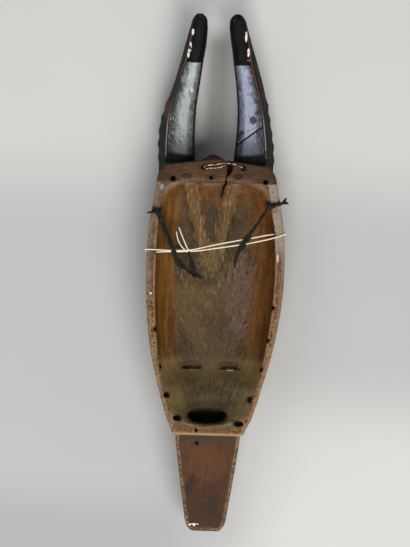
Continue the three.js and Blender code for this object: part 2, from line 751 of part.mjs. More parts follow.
function pinSolid() {
  const { head, rise, shank, length, gap } = PIN;
  const profile = [
    [0, gap + rise], [head * 0.28, gap + rise * 0.85], [head * 0.46, gap + rise * 0.4], [head / 2, gap],
    [shank / 2, gap], [shank / 2, -length], [0, -length],
  ];
  const nail = new THREE.LatheGeometry(profile.reverse().map(([r, y]) => new THREE.Vector2(r, y)), 8);
  nail.rotateX(Math.PI / 2);
  nail.translate(PIN.x, PIN.y, 0);
  return solid(nail);
}

function mesh(name, shape, colour, roughness, metalness = 0) {
  const { vertProperties, triVerts } = shape.getMesh();
  const geometry = new THREE.BufferGeometry();
  geometry.setAttribute('position', new THREE.BufferAttribute(vertProperties, 3));
  geometry.setIndex(new THREE.BufferAttribute(triVerts, 1));
  geometry.computeVertexNormals();
  const material = new THREE.MeshStandardMaterial({ color: colour, roughness, metalness });
  const piece = new THREE.Mesh(geometry, material);
  piece.name = name;
  return piece;
}

const string = strand(STRING_OVER_RIM, STRING_DIAMETER)
  .add(strand(STRING_ACROSS, STRING_DIAMETER))
  .add(knot(STRING_KNOT));
const tieLeft = strand(TIE_LEFT, TIE_DIAMETER)
  .add(strand(TIE_LEFT_BACK, TIE_RETURN_DIAMETER))
  .add(strand(TIE_LEFT_TAIL, TIE_RETURN_DIAMETER))
  .add(knot(TIE_LEFT_KNOTS[0]))
  .add(knot(TIE_LEFT_KNOTS[1]));
const tieRight = strand(TIE_RIGHT, TIE_DIAMETER).add(knot(TIE_RIGHT_KNOTS[0]));
const wire = strand(WIRE_LOWER, WIRE_DIAMETER, WIRE_SIDES)
  .add(strand(WIRE_UPPER, WIRE_DIAMETER, WIRE_SIDES));

const lying = new THREE.Group();
lying.rotation.x = -LEAN;
lying.position.copy(TO_ORIGIN);
lying.add(
  mesh('mask', maskSolid(), 0x7a4a26, 0.7),
  mesh('hanging_string', string, 0xe9e2d0, 0.9),
  mesh('tie_left', tieLeft, 0x1c221e, 0.95),
  mesh('tie_right', tieRight, 0x1c221e, 0.95),
  mesh('repair_wire', wire, 0xb0693c, 0.4, 0.9),
  mesh('rim_pin', pinSolid(), 0xd8d8d4, 0.3, 1),
);

const part = new THREE.Group();
part.add(lying);

export default part;
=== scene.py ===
"""A carved zamble mask lying face down, seen from behind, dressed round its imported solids.

The tables hold millimetres in the mask's own frame: x to the right, y from the chin up to the
horns and z out of the hollow, with the rim in the plane z = 0. Blender's own lengths are metres.
"""
import json
import math

import bmesh
import bpy
import numpy as np
from mathutils import Matrix, Vector, noise

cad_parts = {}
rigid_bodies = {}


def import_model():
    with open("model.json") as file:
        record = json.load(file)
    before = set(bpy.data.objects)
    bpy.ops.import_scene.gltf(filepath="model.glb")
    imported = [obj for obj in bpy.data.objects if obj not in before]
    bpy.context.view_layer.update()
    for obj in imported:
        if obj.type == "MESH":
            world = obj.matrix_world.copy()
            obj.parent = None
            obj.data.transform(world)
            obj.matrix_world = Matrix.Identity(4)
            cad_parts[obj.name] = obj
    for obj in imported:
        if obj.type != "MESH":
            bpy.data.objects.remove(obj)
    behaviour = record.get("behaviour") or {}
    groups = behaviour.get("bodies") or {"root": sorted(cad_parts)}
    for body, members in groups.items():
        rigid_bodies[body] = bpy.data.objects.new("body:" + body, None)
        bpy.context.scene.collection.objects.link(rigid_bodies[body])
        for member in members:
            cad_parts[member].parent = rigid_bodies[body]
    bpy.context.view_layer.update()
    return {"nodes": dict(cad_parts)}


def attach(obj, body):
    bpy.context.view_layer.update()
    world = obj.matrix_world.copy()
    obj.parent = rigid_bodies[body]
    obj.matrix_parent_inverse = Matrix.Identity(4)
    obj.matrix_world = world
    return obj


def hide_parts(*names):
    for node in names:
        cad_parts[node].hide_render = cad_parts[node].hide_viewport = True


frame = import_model()


# How the mask lies
# It rests on its nose and on the roots of its horns, so the plane of its rim leans a little.
# These two moves carry a place on the mask to its place in the room.
LEAN = math.radians(2.46)
TO_ORIGIN = (-4.5, -173.1, 79.9)
MILLIMETRE = 0.001
LAY = (
    Matrix.Scale(MILLIMETRE, 4)
    @ Matrix.Translation(TO_ORIGIN)
    @ Matrix.Rotation(-LEAN, 4, "X")
)


def moved(matrix, points):
    """The points, as an array, after a matrix has moved them."""
    m = np.array(matrix)
    return np.asarray(points, float) @ m[:3, :3].T + m[:3, 3]


def lay(points):
    return moved(LAY, points)


# Camera
# It looks straight down on the plane of the rim from two metres, turned by a degree and a half,
# with the mask a little left of the middle of an upright frame.
VIEW_CENTRE = (-6.84, 175.3)
VIEW_TURN = math.radians(1.645)
VIEW_HEIGHT = 601.7
CAMERA_HEIGHT = 2000

lens = bpy.data.cameras.new("camera")
lens.lens = lens.sensor_width * CAMERA_HEIGHT / VIEW_HEIGHT
camera = bpy.data.objects.new("camera", lens)
camera.matrix_world = (
    Matrix.Translation(lay((*VIEW_CENTRE, CAMERA_HEIGHT)))
    @ Matrix.Rotation(-LEAN, 4, "X")
    @ Matrix.Rotation(VIEW_TURN, 4, "Z")
)
bpy.context.scene.collection.objects.link(camera)
bpy.context.scene.camera = camera
bpy.context.scene.view_settings.view_transform = "Standard"


# Light
# A large soft lamp beyond the chin end gives the shadows that fall past the horns, a cooler one
# fills from the left, and a pale room does the rest.
ROOM = (0.80, 0.82, 0.86)
ROOM_STRENGTH = 0.28
LAMPS = [
    # name, place over the floor, size, power, colour
    ("key", (0.6, -2.1, 3.3), 2.8, 190, (1.0, 0.975, 0.94)),
    ("fill", (-1.6, 1.2, 2.6), 2.0, 16, (0.90, 0.94, 1.0)),
]
LAMPS_AIM = Vector((0, 0, 0.05))

room = bpy.data.worlds.new("room")
room.use_nodes = True
room.node_tree.nodes["Background"].inputs["Color"].default_value = (*ROOM, 1)
room.node_tree.nodes["Background"].inputs["Strength"].default_value = ROOM_STRENGTH
bpy.context.scene.world = room
for name, place, size, power, colour in LAMPS:
    bulb = bpy.data.lights.new(name, "AREA")
    bulb.size = size
    bulb.energy = power
    bulb.color = colour
    lamp = bpy.data.objects.new(name, bulb)
    towards = LAMPS_AIM - Vector(place)
    lamp.matrix_world = Matrix.Translation(place) @ towards.to_track_quat("-Z", "Y").to_matrix().to_4x4()
    bpy.context.scene.collection.objects.link(lamp)


# Floor
# A plain pale sheet of card, with painted shade greying it beside the face and jaws and a
# painted shadow between the horns. Its finish is the first made here, so the tools for finishes
# stand in this section: sockets that read as sums, and one method that adds any node.
class Wire:
    """One socket of a finish. Sums and products of wires and numbers add their nodes."""

    def __init__(self, finish, socket):
        self.finish = finish
        self.socket = socket

    def __add__(self, other):
        return self.finish.maths("ADD", self, other)

    def __sub__(self, other):
        return self.finish.maths("SUBTRACT", self, other)

    def __rsub__(self, other):
        return self.finish.maths("SUBTRACT", other, self)

    def __mul__(self, other):
        return self.finish.maths("MULTIPLY", self, other)

    def __truediv__(self, other):
        return self.finish.maths("DIVIDE", self, other)

    def __pow__(self, other):
        return self.finish.maths("POWER", self, other)

    def __abs__(self):
        return self.finish.maths("ABSOLUTE", self)

    def lower(self, other):
        return self.finish.maths("MINIMUM", self, other)

    def higher(self, other):
        return self.finish.maths("MAXIMUM", self, other)

    def ease(self, low, high):
        """0 below low, 1 above high and smooth between. With low above high it runs down."""
        inputs = {"Value": self, "From Min": low, "From Max": high}
        return self.finish.node("ShaderNodeMapRange", {"interpolation_type": "SMOOTHSTEP"}, inputs)

    def ragged(self, cloudy, reach):
        """This value made uneven by a noise, by up to half of reach either way."""
        return self + (cloudy - 0.5) * reach

    def coat(self, share, red, green, blue):
        """This colour with that share of a paint over it."""
        return self.finish.mix(share, self, paint(red, green, blue))

    def coats(self, *rows):
        """This colour under a paint for each row of (wire, from, to, share, paint), which lies
        where the wire runs from the one value to the other."""
        colour = self
        for wire, low, high, share, shade in rows:
            colour = colour.coat(wire.ease(low, high) * share, *shade)
        return colour

    __radd__ = __add__
    __rmul__ = __mul__


def paint(red, green, blue):
    """The linear colour of a paint given in the usual 0 to 255."""
    shares = (value / 255 for value in (red, green, blue))
    return tuple(s / 12.92 if s <= 0.04045 else ((s + 0.055) / 1.055) ** 2.4 for s in shares)


class Finish:
    """A material made of nodes, whose place socket gives millimetres in the mask's frame."""

    def __init__(self, name, roughness=0.6, shine=0.5):
        self.material = bpy.data.materials.new(name)
        self.material.use_nodes = True
        self.tree = self.material.node_tree
        self.surface = self.tree.nodes["Principled BSDF"]
        self.surface.inputs["Roughness"].default_value = roughness
        self.surface.inputs["Specular IOR Level"].default_value = shine
        back = LAY.inverted()
        turns = {"Location": back.translation, "Rotation": (LEAN, 0, 0), "Scale": (1 / MILLIMETRE,) * 3}
        self.objects = self.node("ShaderNodeTexCoord", output="Object")
        self.place = self.node("ShaderNodeMapping", inputs={"Vector": self.objects, **turns})
        self.x, self.y, self.z = (
            self.node("ShaderNodeSeparateXYZ", inputs={0: self.place}, output=k) for k in range(3)
        )

    def node(self, kind, settings=None, inputs=None, output=0):
        made = self.tree.nodes.new(kind)
        for name, value in (settings or {}).items():
            setattr(made, name, value)
        for name, value in (inputs or {}).items():
            if isinstance(value, Wire):
                self.tree.links.new(value.socket, made.inputs[name])
            elif made.inputs[name].type == "RGBA":
                made.inputs[name].default_value = (*value, 1)
            else:
                made.inputs[name].default_value = value
        return Wire(self, made.outputs[output])

    def maths(self, operation, *terms):
        return self.node("ShaderNodeMath", {"operation": operation}, dict(enumerate(terms)))

    def give(self, **sockets):
        """Feeds wires to the surface: give(Base_Color=...)."""
        for name, wire in sockets.items():
            self.tree.links.new(wire.socket, self.surface.inputs[name.replace("_", " ")])

    def attribute(self, name):
        return self.node("ShaderNodeAttribute", {"attribute_name": name}, output="Fac")

    def vector(self, x, y, z=0.0):
        return self.node("ShaderNodeCombineXYZ", inputs={0: x, 1: y, 2: z})

    def noise(self, size, detail=2.0, roughness=0.5, place=None):
        """Cloudy noise from 0 to 1 with lumps of that size in mm, or of three sizes."""
        sizes = size if isinstance(size, tuple) else (size,) * 3
        shares = tuple(1 / s for s in sizes)
        scaled = self.node(
            "ShaderNodeVectorMath", {"operation": "MULTIPLY"}, {0: place or self.place, 1: shares}
        )
        inputs = {"Vector": scaled, "Scale": 1.0, "Detail": detail, "Roughness": roughness}
        return self.node("ShaderNodeTexNoise", inputs=inputs)

    def mix(self, share, below, above):
        colours = {0: share, 6: below, 7: above}
        return self.node("ShaderNodeMix", {"data_type": "RGBA"}, colours, output=2)

    def blot(self, x0, y0, wide, high, cloudy=None):
        """1 in an upright oval that far across and up from its middle, and 0 outside it."""
        across = (self.x - x0) / wide
        up = (self.y - y0) / high
        away = (across * across + up * up) ** 0.5
        if cloudy:
            away = away.ragged(cloudy, 1.2)
        return away.ease(1.15, 0.75)

    def bump(self, height, strength, depth):
        """A normal from a height between 0 and 1 that stands for a depth in mm."""
        inputs = {"Height": height, "Strength": strength, "Distance": depth * MILLIMETRE}
        return self.node("ShaderNodeBump", inputs=inputs)


def stand(name, shape, finish=None):
    """A bmesh as a smooth piece of the scene."""
    for face in shape.faces:
        face.smooth = True
    mesh = bpy.data.meshes.new(name)
    shape.to_mesh(mesh)
    if finish:
        mesh.materials.append(finish.material)
    piece = bpy.data.objects.new(name, mesh)
    bpy.context.scene.collection.objects.link(piece)
    return piece


CARD = paint(202, 202, 200)
CARD_PAINTED_SHADE = paint(167, 168, 169)
CARD_PAINTED_SHADOW = paint(118, 117, 114)
CARD_HALF = 3.0
HORN_SHADOW_X = 1
HORN_SHADOW_HALF = 26
HORN_SHADOW_FOOT = (300, 335)
HORN_SHADOW_TOP = (462, 432)

card = Finish("pale_card", roughness=0.9)
# Painted shade greys the card from the mask's middle down, but for its lower right, and a painted shadow
# darkens it between the horns
unshaded_corner = card.x.ease(-60, 120) * card.y.ease(80, -30)
painted_shade = card.y.ease(340, 210) * (1 - unshaded_corner) * 0.6
painted_shade = painted_shade + card.y.ease(-50, -120) * card.x.ease(80, -60) * 0.35
pale = card.mix(painted_shade + 0.1 * card.noise(140, detail=3), CARD, CARD_PAINTED_SHADE)
painted_horn_shadow = card.y.ease(*HORN_SHADOW_FOOT) * card.y.ease(*HORN_SHADOW_TOP)
painted_horn_shadow = painted_horn_shadow * abs(card.x - HORN_SHADOW_X).ease(HORN_SHADOW_HALF, 3)
pale = card.mix(painted_horn_shadow * 0.8, pale, CARD_PAINTED_SHADOW)
card.give(Base_Color=pale)
sheet = bmesh.new()
bmesh.ops.create_grid(sheet, x_segments=1, y_segments=1, size=CARD_HALF)
floor = stand("floor", sheet, card)


# Mask
# One block of hard wood: the hollow face with its rim, horns, crest, brows, nose and toothed
# jaws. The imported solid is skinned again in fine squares, softened as carved and worn wood is,
# and cut with the finer tool marks.
RIM_EDGES = [
    # height, left edge, right edge
    (-2, -37.5, 40), (20, -46.5, 50.5), (45, -54, 57.5), (75, -61.8, 66.3), (110, -67.8, 73.8),
    (150, -71, 79.4), (190, -71.7, 80.7), (230, -69.9, 78), (270, -63.4, 71), (290, -60.4, 66.5),
    (298.5, -54, 61),
]
HOLLOW = [
    # height, left edge, right edge
    (9, -8, 7), (11, -19, 18), (16, -30.5, 31.5), (26, -39.5, 43), (45, -46.5, 50), (75, -54.3, 58.6),
    (110, -59, 64.8), (150, -61.2, 69), (190, -61.4, 70), (230, -60, 67.6), (252, -57, 63),
    (266, -50, 55.5), (276, -34, 39),
]
RIM_SPAN = (-4, 303)
JAW = [
    # height, half width
    (-113, 14.5), (-111, 17.6), (-107, 20.8), (-101, 22.8), (-87, 24.8), (-52, 29.9), (-14, 34.8),
    (8, 37),
]
JAW_TIP = -113
JAW_X = 1.2
GRAIN = 1.25
BOWL_BOTTOM = -46
LIP_ROUNDS = 26
SLOPE_ROUNDS = 24
RIB_ROUNDS = 5
SHARP_FROM = math.radians(48)
SOFT_ROUNDS = 16
KEPT_CORNERS = (16, 30)
MOST_TRIANGLES = 196000


def curve(rows, height):
    """Each value of rows of (height, value, ...) at the heights given."""
    table = np.array(rows, float)
    return [np.interp(height, table[:, 0], table[:, k]) for k in range(1, table.shape[1])]


def ease(value, low, high):
    share = np.clip((value - low) / (high - low), 0, 1)
    return share * share * (3 - 2 * share)


def rough(places, size, seed=0.0, octaves=3):
    """Cloudy noise from about -1 to 1 at each place, with lumps of that size in mm."""
    spots = (np.asarray(places) / size + seed).tolist()
    return np.array([noise.fractal(spot, 0.9, 2.1, octaves) for spot in spots])


class Carving:
    """A fine skin over a solid. Its points are worked as one array in the mask's frame."""

    def __init__(self, name, node, grain):
        solid = bmesh.new()
        solid.from_mesh(node.data)
        bmesh.ops.remove_doubles(solid, verts=solid.verts, dist=1e-6)
        self.piece = stand(name, solid)
        skin = self.piece.modifiers.new("skin", "REMESH")
        skin.mode = "VOXEL"
        skin.voxel_size = grain * MILLIMETRE
        self.apply()

    def apply(self):
        """Makes the modifiers' result the piece's own mesh and reads it."""
        shape = self.piece.evaluated_get(bpy.context.evaluated_depsgraph_get())
        self.mesh = bpy.data.meshes.new_from_object(shape)
        self.piece.modifiers.clear()
        self.piece.data = self.mesh
        places = np.empty(len(self.mesh.vertices) * 3, np.float32)
        self.mesh.vertices.foreach_get("co", places)
        self.place = moved(LAY.inverted(), places.reshape(-1, 3))
        ends = np.empty(len(self.mesh.edges) * 2, np.int32)
        self.mesh.edges.foreach_get("vertices", ends)
        self.ends = ends.reshape(-1, 2)
        self.links = np.bincount(self.ends.ravel(), minlength=len(self.place))
        self.read_normals()

    def read_normals(self):
        """Writes the points back and reads which way the surface faces."""
        self.mesh.vertices.foreach_set("co", lay(self.place).astype(np.float32).ravel())
        self.mesh.update()
        facing = np.empty(len(self.place) * 3, np.float32)
        self.mesh.vertices.foreach_get("normal", facing)
        self.normal = facing.reshape(-1, 3) @ np.array(LAY)[:3, :3] / MILLIMETRE

    def around(self, values):
        """The mean of each point's neighbours."""
        columns = values.reshape(len(values), -1)
        a, b = self.ends.T
        total = [
            np.bincount(a, column[b], len(column)) + np.bincount(b, column[a], len(column))
            for column in columns.T
        ]
        return (np.array(total).T / self.links[:, None]).reshape(values.shape)

    def soften(self, rounds, share):
        """Evens the surface out without shrinking it. share is how much each point gives way."""
        for turn in range(rounds):
            for way in (0.55, -0.57):
                self.place += way * share[:, None] * (self.around(self.place) - self.place)
        self.read_normals()

    def relax(self, rounds, share):
        """Draws each point towards the mean of its neighbours, by its share of the way."""
        for turn in range(rounds):
            self.place += share[:, None] * (self.around(self.place) - self.place)
        self.read_normals()

    def sharpness(self):
        """How sharply the surface turns at each point, in degrees from its neighbours."""
        a, b = self.ends.T
        cosine = np.clip((self.normal[a] * self.normal[b]).sum(1), -1, 1)
        turn = np.degrees(np.arccos(cosine))
        sharp = np.zeros(len(self.place))
        np.maximum.at(sharp, a, turn)
        np.maximum.at(sharp, b, turn)
        return sharp

    def push(self, height):
        """Moves each point out of the surface by its height in mm."""
        self.place += self.normal * np.asarray(height)[:, None]
        self.read_normals()

    def keep(self, name, values):
        """Stores a number for each point, for the finishes to read."""
        layer = self.mesh.attributes.new(name, "FLOAT", "POINT")
        layer.data.foreach_set("value", np.asarray(values, np.float32))


def line_distance(x, y, points):
    """The distance in mm from each (x, y) to a line through the points."""
    nearest = np.full(len(x), 1e9)
    for (x0, y0), (x1, y1) in zip(points, points[1:]):
        dx, dy = x1 - x0, y1 - y0
        part = np.clip(((x - x0) * dx + (y - y0) * dy) / (dx * dx + dy * dy), 0, 1)
        nearest = np.minimum(nearest, np.hypot(x - x0 - part * dx, y - y0 - part * dy))
    return nearest


mask = Carving("carved_mask", frame["nodes"]["mask"], GRAIN)
kept = mask.sharpness()
for turn in range(2):
    kept = np.maximum(kept, mask.around(kept))
yielding = 1 - ease(kept, *KEPT_CORNERS)
mask.soften(SOFT_ROUNDS, 0.06 + 0.94 * yielding)


def zones():
    """Where each point lies: how far inside the rim's outer edge and inside the hollow's edge."""
    x, y, z = mask.place.T
    left, right = curve(RIM_EDGES, y)
    hollow_left, hollow_right = curve(HOLLOW, y)
    outer = np.minimum(x - left, right - x)
    off_ends = np.minimum(y - HOLLOW[0][0], HOLLOW[-1][0] - y)
    inner = np.minimum(np.minimum(x - hollow_left, hollow_right - x), off_ends)
    return x, y, z, outer, inner


def in_bowl(inner, z):
    """1 in the hollow and 0 on the front, right behind it."""
    return ease(inner, -0.5, 2.5) * (z > BOWL_BOTTOM)


x, y, z, outer, inner = zones()
faces_back = ease(mask.normal[:, 2], -0.05, 0.2)
in_hollow = in_bowl(inner, z) * faces_back
on_rim = ease(z, -2.2, -0.6) * (y > RIM_SPAN[0]) * (y < RIM_SPAN[1])

# The lip of the hollow is worn round by the wearer's cheeks at the chin, and by the gouge at the
# top, where the ribs run out into the rim
worn_lip = ease(np.abs(inner), 11, 4) * (z > -16) * faces_back * (outer > 4)
worn_lip = worn_lip * np.maximum(ease(y, 95, 55), 0.8 * ease(y, 238, 262)) * ease(y, 3, 8)
mask.relax(LIP_ROUNDS, 0.5 * worn_lip)

# At both ends the hollow's floor runs up to the rim in one gentle slope, but for the mouth
MOUTH = (-1, 13.5)
MOUTH_HALF = (22.5, 12)
SLOPE_START = -1.5
CHIN_SLOPE = 0.62
TOP_SLOPE = 0.85
MOUTH_LEAN = 6.5
x, y, z = mask.place.T
mouth_x, mouth_y = MOUTH
mouth_wide, mouth_high = MOUTH_HALF
off_mouth = np.hypot((x - mouth_x) / mouth_wide, (y - mouth_y) / mouth_high)
slope = SLOPE_START - np.where(y < 150, CHIN_SLOPE, TOP_SLOPE) * inner
gentle = 0.85 * ease(y, 76, 46) * ease(off_mouth, 1, 2.5) + 0.8 * ease(y, 240, 268)
mask.place[:, 2] += in_hollow * gentle * np.maximum(slope - z, 0)

# The wall over the mouth leans in, and both slopes are worn smooth
x, y, z = mask.place.T
above_mouth = (off_mouth < 1.4) * ease(mask.normal[:, 1], -0.1, -0.5) * ease(np.abs(x - mouth_x), 23, 13)
mask.place[:, 1] -= MOUTH_LEAN * above_mouth * ease(z, -13, -46) * (z > -58)
at_ends = ease(off_mouth, 1, 1.3) * ease(y, 88, 70) + ease(y, 244, 260)
worn = 0.5 * ease(inner, -7, -2) * faces_back * (z > BOWL_BOTTOM) * at_ends * ease(y, 1, 5)
mask.relax(SLOPE_ROUNDS, worn)

# The crest between the horns comes to a ridge
CREST_X = -1.5
CREST_HALF = 14.5
CREST_FOOT = 301
CREST_HIGH = 7.2
x, y, z = mask.place.T
crest_top = CREST_FOOT + CREST_HIGH * np.clip(1 - np.abs(x - CREST_X) / CREST_HALF, 0, 1)
over = np.maximum(y - crest_top, 0) * (np.abs(x - CREST_X) < 16.5) * (y < 318)
mask.place[:, 1] -= 0.85 * over
mask.read_normals()

# Long shallow scoops of the adze run up the hollow, and everything worn is a little uneven
SCOOP_DEPTH = 0.4
mask.push(in_hollow * SCOOP_DEPTH * rough(mask.place * (1, 0.16, 1), 7, seed=3))
mask.push(0.2 * rough(mask.place, 16, seed=9) + 0.06 * rough(mask.place, 4, seed=4))

# Fine gouge strokes fan up from the mouth and again from the eyes, and down over the soft ribs
FANS = [
    # where they spread from, heights where they start, hold and end, painted lines a radian, seed
    ((1, -10), (16, 32, 54, 70), 42, 3),
    ((2, 44), (60, 80, 175, 235), 60, 5),
    ((0.5, 286), (130, 185, 256, 272), 52, 8),
]
STROKE_ACROSS = 46
STROKE_ALONG = 19
STROKE_DEPTH = 0.55
for (x0, y0), (low, high, down_from, gone), many, seed in FANS:
    turn = np.arctan2(x - x0, np.abs(y - y0))
    away = np.hypot(x - x0, y - y0)
    reach = ease(y, low, high) * ease(y, gone, down_from) * ease(inner, 12, 24) * in_hollow
    spots = np.stack([turn * STROKE_ACROSS, away / STROKE_ALONG, 0 * x], 1)
    mask.push(-STROKE_DEPTH * reach * ease(rough(spots, 1, seed=seed), 0.05, 0.4))

# The two ribs left standing in a V are rough with torn fibres, and die away to the outside
RIBS = [((-29.6, 280), (-8.5, 196)), ((26.5, 281), (7, 196))]
RIB_HALF = 8.5
RIB_HEIGHT = 2.4


def along_rib(x, y, side, rib):
    """How far each point is down a rib and out to its side, and the rib's length."""
    (x0, y0), (x1, y1) = rib
    length = math.hypot(x1 - x0, y1 - y0)
    ahead = ((x - x0) * (x1 - x0) + (y - y0) * (y1 - y0)) / length
    aside = side * ((x - x0) * (y0 - y1) + (y - y0) * (x1 - x0)) / -length
    return ahead, aside, length


for side, rib in zip((-1, 1), RIBS):
    ahead, aside, length = along_rib(x, y, side, rib)
    span = ease(ahead, -6, 4) * ease(ahead, length + 16, length - 8) * in_hollow
    hip = span * ease(aside, 2, RIB_HALF) * ease(aside, RIB_HALF + 11, RIB_HALF)
    mask.push(RIB_HEIGHT * hip)
    fibres = rough(np.stack([aside / 1.7, ahead / 11, 0 * x], 1), 1, seed=21)
    mask.push(span * ease(np.abs(aside - 2), RIB_HALF + 5, 4) * (0.3 + 0.75 * fibres))
mask.relax(RIB_ROUNDS, in_hollow * ease(y, 186, 200) * 0.5)

# Over each eye slit the wood is hollowed out, and the slit's lower lip stands up a little
EYES = [(-19.2, 70), (23.4, 70.2)]
EYE_HALF = 13
EYE_DEPTH = 2.6
EYE_LIP_HEIGHT = 0.6
for eye_x, eye_y in EYES:
    across = np.clip(1 - ((x - eye_x) / EYE_HALF) ** 2, 0, 1)
    above = y - eye_y + 1.5 * across
    scoop = across**0.7 * ease(above, -0.8, 0.6) * ease(above, 8, 0.5)
    lip = across * ease(above, -4.5, -1.5) * ease(above, 0.2, -0.8)
    mask.push(in_hollow * (EYE_LIP_HEIGHT * lip - EYE_DEPTH * scoop))

# The corners of the rim and of the jaw plate are worn round, nicked and cut with short facets
nicks = ease(rough(mask.place, 6, seed=33), 0.05, 0.6)
mask.push(-on_rim * (0.3 + 0.9 * nicks) * ease(np.abs(outer), 3.2, 0))
mask.push(-on_rim * 0.5 * nicks * ease(inner, -3, 0) * ease(inner, 3, 0))
jaw_edge = np.minimum(curve(JAW, y)[0] - np.abs(x - JAW_X), y - JAW_TIP)
facets = 0.5 + 0.5 * rough(mask.place * (1, 1.6, 1), 3.6, seed=12)
on_jaw = ease(mask.normal[:, 2], 0.3, 0.7) * (y < -3)
mask.push(-on_jaw * (0.4 + 1.0 * facets) * ease(jaw_edge, 6.2, 0.6))

# A split runs across the right horn, and a chip is out of the left one
HORN_SPLIT = [(23, 317.6), (31, 323.2), (43, 332.6), (53, 339.6)]
HORN_CHIP = (-28, 375.6)
SPLIT_DEPTH = 0.5
CHIP_DEPTH = 1.4
horn_back = (y > 302) * ease(mask.normal[:, 2], 0, 0.4)
split = line_distance(x, y, HORN_SPLIT)
chip = np.hypot(x - HORN_CHIP[0], (y - HORN_CHIP[1]) * 0.6)
mask.push(-horn_back * (SPLIT_DEPTH * ease(split, 1.4, 0.3) + CHIP_DEPTH * ease(chip, 2.4, 0.6)))

# The front: two nostrils under the tip of the nose
NOSTRILS = [(-4.9, -95.5), (6.1, -95.5)]
NOSTRIL_DEPTH = 1.8
faces_front = ease(mask.normal[:, 2], 0.1, -0.3)
for nose_x, nose_y in NOSTRILS:
    pit = np.hypot((x - nose_x) / 2.6, (y - nose_y) / 2)
    mask.push(-NOSTRIL_DEPTH * faces_front * ease(pit, 1, 0.3))

# No point goes through the floor, and the skin is thinned where it is nearly flat
OFF_FLOOR = 0.12 * MILLIMETRE
lying = lay(mask.place)
lying[:, 2] = np.maximum(lying[:, 2], OFF_FLOOR)
mask.place = moved(LAY.inverted(), lying)
mask.read_normals()
thinner = mask.piece.modifiers.new("thinner", "DECIMATE")
triangles = sum(len(face.vertices) - 2 for face in mask.mesh.polygons)
thinner.ratio = min(1, MOST_TRIANGLES / triangles)
mask.apply()

# The crack in the top of the rim, the eye slits and the burnt holes are cut last, so they are crisp
CRACK = [
    # outline down its left side and up its right side
    (13.6, 306), (14.1, 297.5), (13.7, 291.6), (14.1, 286), (13.4, 283.8), (12.4, 279.2), (12.9, 274.7),
    (10.7, 272.5), (9.4, 266.8), (7.9, 261.1), (8.4, 258.9), (10.3, 263.4), (11.3, 269.1), (12.6, 272),
    (14.2, 274.8), (13.8, 279.3), (15, 282.5), (17.1, 285.5), (17.7, 290.6), (17.8, 297.6), (18.4, 306),
]
SLIT_HALF = 11.4
SLIT = [(-1, 0), (-0.55, 1.3), (0, 2.1), (0.5, 1.6), (1, 0), (0.55, 0.1), (0, 0.4), (-0.5, 0.2)]
BIT_PLAY = 0.3
SIDE_HOLES = [
    # x, y, diameter: drilled from the lip out through the side
    (-61, 242.5, 5.5), (61.5, 252.8, 5.5), (-61.8, 197.3, 5.8), (68, 220.6, 5.8), (70, 177.5, 4),
    (69, 139.5, 3.6), (64.6, 103.6, 3.6), (58, 70.9, 3.6), (47, 37.6, 5), (36, 10.9, 5.6),
    (-60, 112.7, 3.6), (-53.4, 71.6, 3.6), (-45.3, 40.5, 5), (-33.8, 15.5, 5.6),
]
BACK_HOLES = [
    # x, y, diameter, depth: drilled straight into the rim and the jaw plate
    (-45, 279, 5, 14), (-3.2, 281, 3.4, 12), (56.9, 277.5, 4.4, 14), (26.8, 283, 7, 1.6),
    (-11.6, 292.4, 4.4, 8), (32, 292.2, 4.4, 8), (-11.7, 2.6, 2.6, 8), (-10.8, -12.4, 3, 18),
]


def cut(cutter, outline, low, high):
    """Adds a prism over an outline of (x, y) to the cutter, from one depth to another."""
    ring = [cutter.verts.new((a, b, low)) for a, b in outline]
    face = cutter.faces.new(ring)
    grown = bmesh.ops.extrude_face_region(cutter, geom=[face])["geom"]
    raised = [g for g in grown if isinstance(g, bmesh.types.BMVert)]
    bmesh.ops.translate(cutter, verts=raised, vec=(0, 0, high - low))


def bore(cutter, start, towards, diameter, length):
    """Adds a round hole to the cutter, from a start and in a direction."""
    ahead = Vector(towards).normalized()
    turn = ahead.to_track_quat("Z", "Y").to_matrix().to_4x4()
    middle = Matrix.Translation(Vector(start) + ahead * length / 2)
    bmesh.ops.create_cone(
        cutter, cap_ends=True, segments=18, radius1=diameter / 2, radius2=diameter / 2, depth=length,
        matrix=middle @ turn,
    )


x, y, z, outer, inner = zones()
cutter = bmesh.new()
cut(cutter, CRACK, -13, 5)
for eye_x, eye_y in EYES:
    cut(cutter, [(eye_x + a * SLIT_HALF, eye_y - b) for a, b in SLIT], -80, -20)
bores = []
for hole_x, hole_y, diameter in SIDE_HOLES:
    side = math.copysign(1, hole_x)
    if hole_y > 190:
        bores.append(((hole_x - side * 9, hole_y, -0.2), (side, 0, -0.4), diameter + BIT_PLAY, 26))
    else:
        near = (np.hypot(x - hole_x, y - hole_y) < 2.2) & (mask.normal[:, 2] > 0.1) & (z > -25)
        start = (hole_x - side * 4, hole_y, z[near].mean() + 4.8)
        bores.append((start, (side, 0, -1.2), diameter + 0.4, 24))
for hole_x, hole_y, diameter, depth in BACK_HOLES:
    bores.append(((hole_x, hole_y, 5 if hole_y > 0 else -5), (0, 0, -1), diameter + BIT_PLAY, depth + 5))
for start, towards, diameter, length in bores:
    bore(cutter, start, towards, diameter, length)
bmesh.ops.transform(cutter, matrix=LAY, verts=cutter.verts)
bmesh.ops.recalc_face_normals(cutter, faces=cutter.faces)
cutter_piece = stand("cutter", cutter)
crisp = mask.piece.modifiers.new("crisp", "BOOLEAN")
crisp.operation = "DIFFERENCE"
crisp.solver = "EXACT"
crisp.object = cutter_piece
mask.apply()
bpy.data.objects.remove(cutter_piece)

